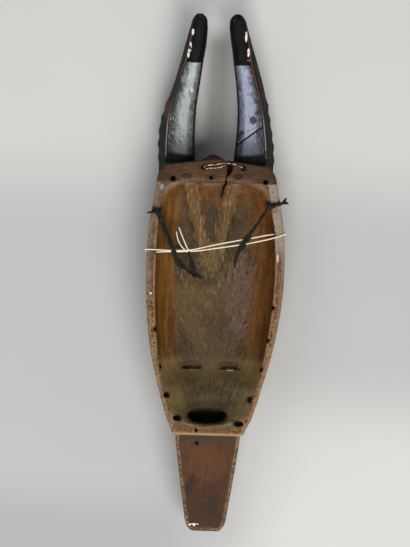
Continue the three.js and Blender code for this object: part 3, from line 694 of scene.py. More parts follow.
# What each point's finish depends on: how far it is from every edge, hole and split, how much it
# stands out or lies in, and which part of the carving it belongs to
WALL_REACH = 36
JAW_BACK_SLOPE = 0.2345
JAW_BACK_START = -9
MOUTH_ROOF = [(-108, -58.5), (-50, -49), (5, -41), (22, -40)]
BROW = [(8, 104), (26, 101), (46, 92), (57, 74)]
BROW_X = 2
HORN_PAINT = [
    # height; left horn's inner edge and the line down its back; right horn's line and inner edge
    (300, -21.6, -54.3, 57.4, 21.9), (322, -22.6, -54.1, 56, 24), (344, -22.9, -52.8, 53.5, 24.3),
    (366, -21.9, -48.2, 49.4, 23.7), (389, -19.1, -42.2, 43, 22.1), (411, -16.3, -34.4, 37.1, 18.7),
    (433, -13, -30, 33.8, 14.6), (446, -11.8, -28.2, 31.4, 13.3), (462, -11.7, -26.6, 28.6, 12.7),
]

x, y, z, outer, inner = zones()
facing = mask.normal[:, 2]
jaw_back = JAW_BACK_START + JAW_BACK_SLOPE * y
jaw_edge = np.minimum(curve(JAW, y)[0] - np.abs(x - JAW_X), y - JAW_TIP)
seen_behind = (z > -8.5) | (y < 8) & (z > jaw_back - 3.5)
in_shell = ease(inner, -1.5, 0.5) * (z > BOWL_BOTTOM - 1) * ease(facing, -0.5, -0.25)
mask.keep("behind", np.maximum(ease(facing, 0.1, 0.4) * seen_behind, in_shell))
mask.keep("outer", outer)
mask.keep("inner", inner)
mask.keep("jaw_edge", jaw_edge)
mask.keep("wall", ease(inner, WALL_REACH, 6) * ease(y, 40, 100) * ease(y, 292, 268))
burnt = np.full(len(x), 99.0)
for start, towards, diameter, length in bores:
    ahead = np.array(towards) / np.linalg.norm(towards)
    off_start = mask.place - start
    off_axis = off_start - np.outer(off_start @ ahead, ahead)
    reached = np.linalg.norm(off_axis, axis=1) - diameter / 2 + 9 * (length < 8)
    burnt = np.minimum(burnt, reached)
mask.keep("burnt", burnt)
mask.keep("crack", line_distance(x, y, CRACK[1:-1]) + 4 * ease(z, -1.6, -0.4))
mask.keep("split", line_distance(x, y, HORN_SPLIT))

frayed = 5 * rough(mask.place * (1, 0.4, 1), 6, seed=41)
ribbed = np.zeros(len(x))
recessed = np.full(len(x), 99.0)
for side, rib in zip((-1, 1), RIBS):
    ahead, aside, length = along_rib(x, y, side, rib)
    span = ease(ahead, -8, 2) * ease(ahead, length + 46, length - 4)
    ribbed = np.maximum(ribbed, span * ease(np.abs(aside - 2) + frayed, RIB_HALF + 4, 2))
    recessed = np.minimum(recessed, -aside)
mask.keep("rib", ribbed * in_bowl(inner, z))
mask.keep("recess", ease(recessed, -1, 4) * ease(y, 186, 204) * ease(y, 283, 268) * in_bowl(inner, z))

mouth_roof = curve(MOUTH_ROOF, y)[0]
in_gap = (z < jaw_back - 12.4) & (z > mouth_roof + 0.7) & (y < -8)
mask.keep("teeth", in_gap * ease(jaw_edge, 8.5, 7.5))
mask.keep("brow", line_distance(np.abs(x - BROW_X), y, BROW) + 20 * (facing > 0.3))

inner_left, line_left, line_right, inner_right = curve(HORN_PAINT, y)
on_right = x > 0
mask.keep("right_horn", on_right)
mask.keep("off_line", np.where(on_right, line_right - x, x - line_left))
mask.keep("across", np.where(on_right, (x - line_right) / (inner_right - line_right),
                             (x - line_left) / (inner_left - line_left)))
mask.keep("back_face", ease(facing, 0.25, 0.5))
bowed = []
spread = mask.place.copy()
for turn in range(12):
    spread = mask.around(spread)
    if turn in (2, 11):
        bowed.append(((mask.place - spread) * mask.normal).sum(1))
mask.keep("edge", bowed[0])
mask.keep("swell", bowed[1])

# The wood: oiled and handled brown, glossy orange on the hollow's walls, olive and dry down its
# middle, and scraped pale along the rim. The front is near black, with limed teeth and eyelids.
# From here on x, inner, wall and the rest are wires of the finish, with the values kept above.
wood = Finish("carved_wood", shine=0.2)
behind, inner, outer, jaw_edge, wall, burnt, crack, rib, recess, teeth, brow, edge, swell = (
    wood.attribute(name) for name in (
        "behind", "inner", "outer", "jaw_edge", "wall", "burnt", "crack", "rib", "recess", "teeth",
        "brow", "edge", "swell",
    )
)
x, y, z = wood.x, wood.y, wood.z
cloud = wood.noise(42, detail=3)
mottle = wood.noise(10, detail=4, roughness=0.62)
speck = wood.noise(3.2, detail=3, roughness=0.7)
fibre = wood.noise((2.1, 26, 9), detail=4, roughness=0.7)
streak = wood.noise((4.5, 70, 14), detail=3, roughness=0.55)

# The strokes fan out as the carved ones do, and waver like hair
STROKE_SWAY = 0.16
STROKE_LONG = 9
SCRATCH_LONG = 15
SCRATCH_SHARE = 0.8
sway = wood.noise(15, detail=2)
stroke = 0.5
scratch = 0
for (x0, y0), (low, high, down_from, gone), many, seed in FANS:
    turn = wood.maths("ARCTAN2", x - x0, abs(y - y0)) + (sway - 0.5) * STROKE_SWAY
    away = ((x - x0) * (x - x0) + (y - y0) * (y - y0)) ** 0.5
    along = wood.vector(turn * many, away / STROKE_LONG, seed)
    lines = wood.noise(1, detail=4, roughness=0.62, place=along)
    reach = y.ease(low, high) * y.ease(gone, down_from)
    stroke = (lines - 0.5) * reach * 0.95 + stroke
    along = wood.vector(turn * many * SCRATCH_SHARE, away / SCRATCH_LONG, seed + 4)
    scratched = wood.noise(1, detail=1, roughness=0.4, place=along)
    scratch = scratched.ease(0.64, 0.7) * reach + scratch

EYE_LIP_GLINT = (0.2, 0.85)
FACE_PATCH = (0, 66, 44, 40)
CHIN_PATCH = (0, 34, 32, 15)
RECESS_PATCH = (1, 257, 13, 12)
# The first patch is a painted sheen on the right of the hollow
MIDDLE_PATCHES_AND_SHEEN = [
    # middle, reach across and up, share, paint
    ((33, 148), (17, 50), 0.8, (92, 72, 58)), ((-30, 90), (12, 22), 0.6, (54, 45, 28)),
    ((-17, 47), (14, 12), 0.6, (60, 54, 34)), ((38, 84), (9, 20), 0.6, (58, 46, 36)),
    ((24, 42), (15, 16), 0.5, (74, 66, 52)),
]
middle = wood.mix(cloud.ease(0.36, 0.64), paint(66, 49, 28), paint(86, 67, 42))
middle = middle.coat(wood.blot(*FACE_PATCH, cloud) * 0.85, 72, 62, 38)
middle = middle.coat(y.ease(64, 42), 100, 84, 51)
for spot, reach, share, colour in MIDDLE_PATCHES_AND_SHEEN:
    middle = middle.coat(wood.blot(*spot, *reach, mottle) * share, *colour)
side_wall = wood.mix(x.ease(-20, 20), paint(110, 74, 30), paint(106, 66, 30))
side_wall = side_wall.coats(
    (y, 110, 72, 0.8, (108, 82, 48)), (streak, 0.42, 0.62, 0.7, (74, 43, 19)),
    (mottle, 0.52, 0.7, 0.5, (128, 88, 40)), (speck, 0.56, 0.75, 0.3, (140, 102, 52)),
)
walls = (wall + 0.5 * (mottle - 0.5) + 0.3 * (cloud - 0.5)).ease(0.1, 0.9)
hollow = wood.mix(walls, middle, side_wall)
# Painted light brightens the cheeks and the lower side walls, where the steep walls fall into shade
cheeks = y.ragged(cloud, 10).ease(86, 74) * y.ragged(cloud, 10).ease(49, 64)
cheeks = cheeks * (0.12 + 0.5 * abs(x).ease(20, 50))
hollow = hollow.coat(cheeks, 150, 122, 74)
hollow = hollow.coat(wood.blot(*CHIN_PATCH, cloud) * 0.65, 62, 54, 35)
hollow = hollow.coat(y.ease(34, 20) * x.ease(14, 30) * 0.4, 134, 114, 84)
upper = wood.mix(mottle.ease(0.4, 0.62), paint(70, 46, 25), paint(96, 62, 28))
hollow = wood.mix(y.ragged(mottle, 22).ease(248, 268) * 0.8, hollow, upper)
in_recess = (recess + 0.5 * (mottle - 0.5)).ease(0.3, 0.8)
hollow = hollow.coat(in_recess * 0.9, 50, 36, 19)
hollow = hollow.coat(in_recess * wood.blot(*RECESS_PATCH, mottle), 84, 52, 24)
hollow = hollow.coat(in_recess * speck.ease(0.56, 0.7) * 0.3, 104, 88, 66)
# Painted shade darkens both flanks of each rib
painted_rib_shade = (rib + 0.5 * (mottle - 0.5)).ease(0.02, 0.3) * rib.ease(0.62, 0.3)
hollow = hollow.coat(painted_rib_shade * 0.42, 40, 29, 16)
torn = (rib + 0.9 * (mottle - 0.5) + 0.9 * (stroke - 0.5) + 0.5 * (fibre - 0.5)).ease(0.3, 0.82)
hollow = hollow.coat(torn * 0.9, 96, 72, 40)
hollow = hollow.coat(torn * fibre.ease(0.52, 0.68) * 0.75, 150, 120, 76)
hollow = hollow.coat(torn * fibre.ease(0.46, 0.32) * 0.7, 56, 40, 20)
dry = 1 - walls * 0.85
hollow = hollow.coat(dry * stroke.ease(0.54, 0.68) * 0.5, 120, 102, 68)
hollow = hollow.coat(dry * stroke.ease(0.46, 0.33) * 0.65, 44, 33, 18)
hollow = hollow.coat((dry * scratch * 0.36).lower(1), 126, 110, 76)
hollow = hollow.coats(
    (speck, 0.62, 0.78, 0.35, (118, 98, 68)), (speck, 0.4, 0.26, 0.45, (40, 29, 16)),
)
for (eye_x, eye_y), painted_light in zip(EYES, EYE_LIP_GLINT):
    hollow = hollow.coat(wood.blot(eye_x, eye_y + 3.4, 12.5, 4.4, speck) * 0.8, 62, 37, 18)
    hollow = hollow.coat(wood.blot(eye_x, eye_y + 0.9, 11, 1.3, speck) * 0.8, 26, 15, 8)
    # A painted glint lies on each slit's lower lip
    lip = wood.blot(eye_x + 1, eye_y - 2.3, 4.6, 0.7, speck)
    hollow = hollow.coat(lip * painted_light, 226, 222, 204)

# The flat rim: as brown as the hollow above the step at its shoulders, scraped pinkish grey
# along its outer part below it, and more orange towards the chin, with a painted highlight along
# the step at the chin and a painted shadow along its top edge, under the horns
RIB_PITS = [
    # x, y, reach across and up: dark pits in the rim, where the ribs end
    (-30.5, 281.5, 6.5, 3.4), (-3.2, 281, 6.5, 4.6), (26.8, 283, 7, 3.6),
]
# Two small pale spots on the rim, one bluish
PALE_RIM_SPOTS = [
    # middle, reach across and up, share, paint
    ((-57, 269.5), (2.2, 3.4), 0.6, (150, 158, 172)), ((72.6, 194), (1.3, 4.4), 0.65, (224, 214, 202)),
]
shoulder = y.ragged(mottle, 3).ease(275.8, 274.6)
top_band = wood.mix(cloud.ease(0.4, 0.62), paint(60, 41, 26), paint(76, 50, 27))
top_band = top_band.coats(
    (mottle, 0.5, 0.7, 0.5, (102, 62, 30)), (mottle, 0.45, 0.3, 0.8, (48, 35, 27)),
)
along_band = wood.noise((14, 1.3, 6), detail=3, roughness=0.6)
top_band = top_band.coats(
    (along_band, 0.56, 0.68, 0.45, (116, 88, 62)), (along_band, 0.44, 0.32, 0.6, (38, 27, 19)),
    # The last row is a painted shadow along the top edge, under the horns
    (y, 287, 299, 0.5, (60, 47, 40)), (y, 301.5, 305, 0.8, (26, 20, 13)),
)
rib_ends = y.ragged(mottle, 9).ease(284, 278) * abs(x + 2).ease(44, 34)
fibrous = wood.mix(fibre.ease(0.44, 0.6), paint(62, 41, 23), paint(98, 66, 33))
top_band = wood.mix(rib_ends * 0.85, top_band, fibrous)
for pit in RIB_PITS:
    top_band = top_band.coat(wood.blot(*pit, mottle) * 0.75, 36, 27, 19)
scraped = wood.mix(y.ragged(cloud, 70).ease(150, 225), paint(86, 58, 31), paint(90, 71, 60))
scraped = scraped.coat(x.ease(40, 60) * y.ease(186, 210), 140, 130, 120)
scraped = scraped.coats(
    (fibre, 0.54, 0.66, 0.45, (158, 130, 104)), (fibre, 0.46, 0.34, 0.55, (60, 40, 28)),
    (speck, 0.56, 0.7, 0.5, (146, 116, 84)), (speck, 0.47, 0.33, 0.8, (58, 40, 26)),
    (mottle, 0.44, 0.34, 0.5, (70, 46, 30)),
)
bright_edge = outer.ease(2.4, 0.8) * mottle.ease(0.4, 0.6)
scraped = scraped.coat(bright_edge * 0.45, 160, 134, 108)
nicked = wood.noise(2.3, detail=1, roughness=0.4)
lower_rim = y.ease(190, 120)
scraped = scraped.coat(lower_rim * nicked.ease(0.52, 0.6) * 0.45, 162, 118, 76)
scraped = scraped.coat(lower_rim * nicked.ease(0.49, 0.38) * 0.75, 54, 34, 20)
for spot, reach, share, colour in PALE_RIM_SPOTS:
    scraped = scraped.coat(wood.blot(*spot, *reach, nicked) * share, *colour)
inner_part = wood.mix(y.ease(100, 130), paint(88, 72, 43), paint(96, 72, 42))
inner_part = inner_part.coats(
    (mottle, 0.45, 0.62, 0.6, (108, 88, 56)), (speck, 0.45, 0.32, 0.6, (52, 40, 24)),
)
rim_width = 6.2 + 3.9 * y.ease(60, 150) + (speck - 0.5) * 3
rim = wood.mix((outer - rim_width).ease(0.9, -0.9), inner_part, scraped)
chin = wood.mix(speck.ease(0.45, 0.66), paint(86, 58, 29), paint(128, 92, 54))
rim = wood.mix(y.ragged(mottle, 5).ease(6.6, 4), rim, chin)
# A painted highlight along the face of the step at the chin
rim = rim.coat(y.ease(0.2, -1.8) * mottle.ease(0.3, 0.42), 166, 132, 88)
rim = wood.mix(shoulder, top_band, rim)

# The back of the lower jaw is redder and darker, its border is cut with short pale facets, and its tip
# has painted highlights
JAW_CRACK = (1.4, -72.6)
JAW_PATCH = (3, -36, 24, 20)
JAW_SMEARS = [(-14.5, -55, 3, 10), (-17.5, -65.5, 4.4, 9)]
JAW_STAIN = (9, -84, 6, 11)
TIP_PAINTED_HIGHLIGHTS = (-10.4, -106, 7.5, 1.7)
jaw = wood.mix(cloud.ease(0.4, 0.62), paint(62, 34, 12), paint(76, 46, 18))
jaw = jaw.coat(wood.blot(*JAW_PATCH, mottle) * 0.4, 98, 58, 24)
jaw = jaw.coats(
    (mottle, 0.55, 0.7, 0.6, (84, 44, 18)), (mottle, 0.44, 0.32, 0.7, (46, 28, 17)),
    (fibre, 0.55, 0.68, 0.4, (104, 72, 42)), (fibre, 0.46, 0.34, 0.5, (42, 24, 12)),
    (speck, 0.6, 0.76, 0.35, (102, 74, 44)), (speck, 0.38, 0.26, 0.5, (36, 22, 12)),
    (y, -62, -92, 0.5, (48, 30, 18)), (y, -15, -8, 0.75, (52, 45, 38)),
)
upper_smear, lower_smear = (wood.blot(*smear, fibre) for smear in JAW_SMEARS)
smear = upper_smear.higher(lower_smear)
smear = smear.higher(wood.blot(*JAW_STAIN, mottle) * speck.ease(0.4, 0.6))
jaw = jaw.coat(smear * 0.75, 30, 26, 25)
cross_crack = abs(y - JAW_CRACK[1] + (mottle - 0.5) * 2).ease(0.7, 0.3)
cross_crack = cross_crack * abs(x - JAW_CRACK[0]).ease(11, 9)
jaw = jaw.coat(cross_crack * 0.7, 26, 16, 9)
notched = jaw_edge + (speck - 0.5) * 5 + (mottle - 0.5) * 4
jaw = jaw.coat(notched.ease(5.6, 3.8) * 0.8, 82, 63, 45)
jaw = jaw.coat(notched.ease(4.4, 2.6) * speck.ease(0.47, 0.58) * 0.9, 152, 120, 88)
jaw = jaw.coat(jaw_edge.ragged(speck, 2).ease(2.4, 0.8) * 0.7, 72, 58, 46)
# Painted highlights on the rounded tip of the jaw
painted_tip_highlights = wood.blot(*TIP_PAINTED_HIGHLIGHTS) * wood.noise(2.7, detail=0).ease(0.48, 0.54)
jaw = jaw.coat(painted_tip_highlights, 238, 226, 208)

# The lip between hollow and rim is crisp along the sides and blurred at the top
SIDE_LIP = 0.8
TOP_LIP = 5.8
soft_lip = SIDE_LIP + (TOP_LIP - SIDE_LIP) * y.ease(262, 274)
past_lip = (inner / soft_lip + (mottle - 0.5) * 2).ease(-1, 1)
back = wood.mix(past_lip, rim, hollow)
back = wood.mix(y.ease(-3.2, -4.2), back, jaw)
worn_corner = edge.ease(0.05, 0.22) * inner.ease(1, -1) * shoulder * y.ease(-4, -1)
back = back.coat(worn_corner * 0.4, 160, 130, 94)
back = back.coat(swell.ease(-0.15, -0.7) * 0.35, 34, 26, 16)

# The front: smoked and oiled, rubbed brown where it stands out
front = wood.mix(mottle.ease(0.4, 0.62), paint(40, 26, 17), paint(56, 36, 22))
front = front.coat(edge.ease(0.02, 0.2) * 0.7, 98, 66, 40)
blackened = brow.ease(5.4, 4.2).higher(abs(x - 0.6).ease(8, 6.4) * z.ease(-60, -64))
front = front.coat(blackened * mottle.ease(0.28, 0.4), 20, 18, 17)
zigzag = abs(wood.maths("PINGPONG", y + 200, 7) - (outer - 5) * 0.9)
border = zigzag.ease(1.7, 1.0) * y.ease(-2, 4) * y.ease(262, 254)
border = border * z.ease(-12, -14)
front = front.coat(border * outer.ease(13, 12) * speck.ease(0.36, 0.46), 170, 128, 64)
limed = teeth
for eye_x, eye_y in EYES:
    limed = limed.higher(wood.blot(eye_x, eye_y, 17.5, 10) * z.ease(-48, -52))
front = front.coat(limed * mottle.ease(0.3, 0.42), 182, 172, 148)

# Soot round the burnt holes, the dark of the crack, and painted shade in the mouth and its throat, fading
# in from above, and softer over the slope above the mouth
MOUTH_EDGE = 8.9
MOUTH_EDGE_BEND = 0.0165
colour = wood.mix(behind, front, back)
sooty = burnt.ragged(speck, 1.2).ease(2.6, 0.5) * 0.75
colour = colour.coat(sooty, 34, 23, 15)
bottom = (x - mouth_x) * (x - mouth_x) * MOUTH_EDGE_BEND + MOUTH_EDGE
mouth_shade_fade = (y + (fibre - 0.5) * 14 + (mottle - 0.5) * 5).ease(25, 12)
shade = y.ragged(mottle, 8).ease(50, 24) * abs(x - mouth_x).ease(27, 15) * behind
colour = colour.coat(shade * y.ease(8, 12) * 0.6, 40, 29, 15)
mouth = mouth_shade_fade * abs(x - mouth_x).ragged(speck, 2).ease(23, 20.5)
mouth = mouth * (y - bottom).ease(-0.2, 0.5)
painted_throat_shade = wood.blot(mouth_x, mouth_y - 6, 24, 22) * z.ease(-26, -42) * z.ease(-66, -58)
# Black for the soot, the crack, and the painted shade of the mouth and throat
black = burnt.ease(0.25, 0.05).higher(crack.ease(1.1, 0.5))
black = black.higher(mouth * z.ease(-1, -4)).higher(painted_throat_shade)
colour = colour.coat(black, 7, 5, 3)
wood.give(Base_Color=colour)
wood.give(Roughness=0.68 - 0.24 * walls + 0.16 * (mottle - 0.5) + 0.1 * black)
ridges = fibre * 0.3 + stroke * 0.6 + speck * 0.3
wood.give(Normal=wood.bump(ridges, 0.5, 0.9))

# The horns: black paint, worn brown on the ringed band along the outside and silvered on the
# flat back as far as a straight brushed edge below the tips. A painted highlight runs down the
# middle of the silver, with painted glints in its streaks
SILVER_TOP = (407.6, 405.6)
SILVER_FOOT = 306.5
KNOCKS = [
    # x, y, reach: bare brown spots in the silver
    (41.6, 346.2, 4.3), (29.2, 332, 2.7),
]
BAND_WEAR = (-53.6, 357, 4.4, 12)
TIP_WEAR = (35.1, 411.4, 2.6, 1.5)
CHIP_REACH = 1.35
CHIPS = [
    # x, y, reach up: white ground showing along the edge of the black
    (-27.8, 440.5, 3.4), (-29.9, 424.5, 5), (-31.9, 417, 5), (31.2, 437, 6), (34.2, 420, 5),
]
horn = Finish("painted_horn", shine=0.12)
right_horn, off_line, across, back_face, split, edge = (
    horn.attribute(name) for name in ("right_horn", "off_line", "across", "back_face", "split", "edge")
)
x, y, z = horn.x, horn.y, horn.z
brushed = horn.noise((1.6, 16, 6), detail=4, roughness=0.7)
mottle = horn.noise(9, detail=4, roughness=0.62)
speck = horn.noise(2.6, detail=3, roughness=0.7)

band = horn.mix(mottle.ease(0.4, 0.62), paint(30, 27, 24), paint(22, 22, 21))
band = band.coat(speck.ease(0.58, 0.74) * 0.4, 66, 54, 44)
band = band.coat(horn.blot(*BAND_WEAR, mottle) * 0.85, 92, 56, 32)
band = band.coat(edge.ease(-0.04, -0.2), 14, 13, 12)
black = horn.mix(brushed.ease(0.5, 0.72), paint(7, 7, 7), paint(26, 28, 30))
black = black.coat(y.ease(448, 460) * mottle.ease(0.44, 0.62) * 0.5, 62, 44, 30)
slanting = horn.vector((x + y * 0.35) / 2.6, (y - x * 0.35) / 17, 4.1)
silver_streaks_and_glints = horn.noise(1, detail=4, roughness=0.68, place=slanting)
# Painted shade at the silver's edges, a painted highlight down its middle, and painted glints in the
# slanting streaks
grey = horn.mix(right_horn, paint(58, 61, 58), paint(60, 60, 70))
painted_light = horn.mix(right_horn, paint(156, 164, 164), paint(158, 164, 184))
bright = (abs(across - 0.58) + (mottle - 0.5) * 0.7 + (silver_streaks_and_glints - 0.5) * 0.9).ease(0.5, 0.08)
silver = horn.mix(bright, grey, painted_light)
silver = silver.coats(
    (silver_streaks_and_glints, 0.42, 0.3, 0.6, (70, 70, 68)), (silver_streaks_and_glints, 0.58, 0.7, 0.7, (214, 220, 220)),
    (speck, 0.43, 0.32, 0.6, (44, 42, 44)),
)
silver = silver.coat(right_horn * mottle.ease(0.44, 0.34) * 0.6, 64, 50, 56)
# Painted shade darkens the silver towards the roots, under the rim
silver = silver.coat(y.ease(340, 312) * 0.72, 48, 49, 50)
below_top = y - SILVER_TOP[0] + right_horn * (SILVER_TOP[0] - SILVER_TOP[1])
top = below_top.ragged(speck, 2.4).ease(0.4, -0.4)
foot = (y + (mottle - 0.5) * 4 + across * 3).ease(SILVER_FOOT, SILVER_FOOT + 5)
silvered = top * foot * across.ease(0.99, 0.93) * off_line.ragged(speck, 2).ease(0.8, 2.2)
flat = horn.mix(silvered, black, silver)
for spot_x, spot_y, reach in KNOCKS:
    flat = flat.coat(horn.blot(spot_x, spot_y, reach, reach * 1.1, speck) * 0.85, 50, 35, 31)
flat = flat.coat(split.ease(1.5, 0.6), 36, 26, 22)
on_flat = off_line.ease(-0.6, 0.5) * back_face
colour = horn.mix(on_flat, band, flat)
line = abs(off_line).ease(0.8, 0.35) * back_face * mottle.ease(0.3, 0.44)
copper_line = horn.mix(right_horn, paint(108, 88, 72), paint(100, 66, 50))
copper_line = copper_line.coat(y.ease(360, 338), 140, 134, 128)
colour = horn.mix(line * y.ease(444, 436), colour, copper_line)
for chip_x, chip_y, reach in CHIPS:
    chipped = horn.blot(chip_x, chip_y, CHIP_REACH, reach, speck) * mottle.ease(0.38, 0.46) * back_face
    colour = colour.coat(chipped, 240, 238, 228)
colour = colour.coat(horn.blot(*TIP_WEAR, mottle) * back_face * 0.8, 124, 78, 54)
# A painted shadow blackens the roots where they meet the rim
colour = colour.coat(y.ease(306, 302.5), 20, 18, 17)
horn.give(Base_Color=colour)
horn.give(Roughness=0.62 - 0.2 * silvered * on_flat + 0.2 * (mottle - 0.5))
horn.give(Metallic=silvered * on_flat * 0.35)
horn.give(Normal=horn.bump(brushed * 0.6 + speck * 0.5, 0.5, 0.8))

mask.mesh.materials.clear()
mask.mesh.materials.append(wood.material)
mask.mesh.materials.append(horn.material)
middles = np.empty(len(mask.mesh.polygons) * 3, np.float32)
mask.mesh.polygons.foreach_get("center", middles)
x, y, z = moved(LAY.inverted(), middles.reshape(-1, 3)).T

# Which faces are horn: all beyond the rim but the crest, and the roots in front of it
off_crest = np.abs(x - CREST_X) > CREST_HALF + 2.5
root = (y > 266) & (z < -30) & (np.abs(x) > 21)
horned = (y > 296) & (z < -5) & off_crest | (y > 325) | root
mask.mesh.polygons.foreach_set("material_index", horned.astype(np.int32))
mask.mesh.polygons.foreach_set("use_smooth", [True] * len(mask.mesh.polygons))
mask.mesh.set_sharp_from_angle(angle=SHARP_FROM)
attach(mask.piece, "root")
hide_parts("mask")


# Hanging string
# White two-ply cotton, knotted left of the middle and looped once round each side of the rim
# through a hole. Every route is the solid's own, listed again because this file can't read it.
STRING_WIDTH = 1.6
STRING_TURN = 4.4
STRING_OVER_RIM = [
    (-39.7, 221, -3.2), (-38.7, 215.3, -2.2), (-36.5, 209.2, -1), (-33.4, 204.2, 0), (-30, 200.8, 0.9),
    (-34, 199.9, 1.2), (-45, 199.6, 1.2), (-58, 199.9, 1.2), (-66, 200.1, 1.3), (-70, 200.1, 1.35),
    (-72.4, 200, 0.1), (-73.3, 199.7, -2.2), (-73.4, 199.1, -5), (-72.6, 198.3, -7.4), (-70.4, 197.6, -8),
    (-67, 197.2, -6.4), (-62.5, 197.3, -4.3), (-58, 197.7, -2.1), (-52, 198.1, -0.2), (-44, 198.4, 0.7),
    (-34, 198.7, 1.1), (-26, 199.4, 1.1),
]
STRING_ACROSS = [
    (-29, 200, 0.9), (-20, 201.3, 1.1), (-8.8, 204.1, 1.1), (3.2, 207.1, 1.1), (14.2, 209.5, 1.1),
    (34.9, 213.9, 1.1), (48.1, 216.6, 0.8), (56.9, 218.7, -0.6), (64.2, 220, -2.6), (70.5, 220.8, -5),
    (76, 221.4, -7.2), (79.6, 221.8, -8.1), (81.1, 221.8, -6.2), (81.4, 221.6, -3.4), (80.8, 221.2, -0.9),
    (79, 220.6, 0.9), (76.1, 219.5, 1.3), (69.9, 217.2, 1.2), (59.1, 214.1, 1.2), (37.3, 209.1, 1.2),
    (22, 206.3, 1.2), (7.7, 203.9, 1.2), (-6.1, 201.5, 1.2), (-17.4, 199.8, 1.1), (-23.6, 199.7, 1),
    (-27, 202.6, 0.2), (-29.3, 207.2, -0.6), (-31.8, 212.8, -1.8), (-34.3, 218.5, -2.9),
    (-37.2, 225.7, -4.2),
]
STRING_KNOT = {"at": (-27.4, 199.8, 0.9), "size": (5, 3.8, 3.2)}


def line_through(points, step=0.55):
    """A smooth line through the points, as places that lie a step of mm apart."""
    p = np.array(points, float)
    p = np.vstack([2 * p[0] - p[1], p, 2 * p[-1] - p[-2]])
    t = np.linspace(0, 1, 24, endpoint=False)[:, None]
    bends = []
    for a, b, c, d in zip(p, p[1:], p[2:], p[3:]):
        squared, cubed = a - 2.5 * b + 2 * c - d / 2, 1.5 * (b - c) + (d - a) / 2
        bends.append(b + t * (c - a) / 2 + t**2 * squared + t**3 * cubed)
    fine = np.vstack([*bends, p[-2:-1]])
    run = np.append(0, np.cumsum(np.linalg.norm(np.diff(fine, axis=0), axis=1)))
    at = np.linspace(0, run[-1], max(3, round(run[-1] / step) + 1))
    return np.stack([np.interp(at, run, fine[:, k]) for k in range(3)], 1)


def swept(name, lines, outline, finish, sides=10, flat=False):
    """Closed strands along lines of places in mm. The outline gives how far each side stands
    off the line, as (across, up), from its angle, its mm along and how far it is from an end.
    A flat strand keeps its broad side up; any other follows its line without a twist."""
    whole = bmesh.new()
    lengthwise = whole.loops.layers.uv.new("weave")
    for line in lines:
        ahead = np.gradient(line, axis=0)
        ahead /= np.linalg.norm(ahead, axis=1)[:, None]
        straight_up = np.array((0.0, 0.0, 1.0))
        over = [straight_up if flat or abs(ahead[0][2]) < 0.9 else np.array((1.0, 0.0, 0.0))]
        for t in ahead:
            turned = straight_up if flat else over[-1]
            turned = turned - t * (turned @ t)
            over.append(turned / np.linalg.norm(turned))
        over = np.array(over[1:])
        aside = np.cross(ahead, over)
        run = np.append(0, np.cumsum(np.linalg.norm(np.diff(line, axis=0), axis=1)))
        angle = np.linspace(0, 2 * np.pi, sides + 1)[None, :]
        across, up = outline(angle, run[:, None], np.minimum(run, run[-1] - run)[:, None])
        spots = line[:, None] + aside[:, None] * across[..., None] + over[:, None] * up[..., None]
        spots = lay(spots.reshape(-1, 3))
        steps = len(line) - 1
        strand = bmesh.ops.create_grid(whole, x_segments=sides, y_segments=steps, size=0.5)["verts"]
        cells = {v: (round((v.co.x + 0.5) * sides), round((v.co.y + 0.5) * steps)) for v in strand}
        for face in {f for v in strand for f in v.link_faces}:
            for corner in face.loops:
                i, j = cells[corner.vert]
                corner[lengthwise].uv = (i / sides, run[j])
        for v, (i, j) in cells.items():
            v.co = spots[j * (sides + 1) + i]
        bmesh.ops.remove_doubles(whole, verts=strand, dist=1e-6)
    bmesh.ops.holes_fill(whole, edges=[e for e in whole.edges if e.is_boundary])
    bmesh.ops.recalc_face_normals(whole, faces=whole.faces)
    piece = stand(name, whole, finish)
    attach(piece, "root")
    return piece


def two_ply(angle, run, from_end):
    """Two yarns laid round each other, thinner where the cut ends are worn."""
    lobes = 0.62 + 0.38 * np.abs(np.cos(angle - 2 * np.pi * run / STRING_TURN))
    reach = STRING_WIDTH / 2 * lobes * (0.45 + 0.55 * ease(from_end, 0, 1.6))
    return reach * np.cos(angle), reach * np.sin(angle)


def knot_line(at, size, tilt=0.0):
    """A three-lobed overhand knot in a box of that size."""
    t = np.linspace(0.2, 2 * np.pi + 0.1, 60)
    a = (np.sin(t) + 2 * np.sin(2 * t)) / 2.8
    b = (np.cos(t) - 2 * np.cos(2 * t)) / 3
    c = -np.sin(3 * t)
    cosine, sine = math.cos(tilt), math.sin(tilt)
    turned = np.stack([a * cosine - b * sine, a * sine + b * cosine, c], 1)
    return np.array(at) + turned * np.array(size) / 2


cotton = Finish("white_cotton", roughness=0.85, shine=0.2)
fuzz = cotton.noise(0.5, detail=3)
grime = cotton.noise(9, detail=2)
yarn = cotton.mix(fuzz.ease(0.35, 0.65), paint(226, 212, 186), paint(246, 238, 218))
cotton.give(Base_Color=cotton.mix(grime.ease(0.5, 0.75) * 0.4, yarn, paint(196, 178, 146)))
cotton.give(Normal=cotton.bump(fuzz, 0.4, 0.25))

string_over_rim_line = line_through(STRING_OVER_RIM)
string_across_line = line_through(STRING_ACROSS)
string_over_rim = swept("string_over_rim", [string_over_rim_line], two_ply, cotton)
string_across = swept("string_across", [string_across_line], two_ply, cotton)
knot_size = [s - STRING_WIDTH for s in STRING_KNOT["size"]]
string_knot = swept("string_knot", [knot_line(STRING_KNOT["at"], knot_size)], two_ply, cotton)
for piece in (string_over_rim, string_across, string_knot):
    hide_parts("hanging_string")


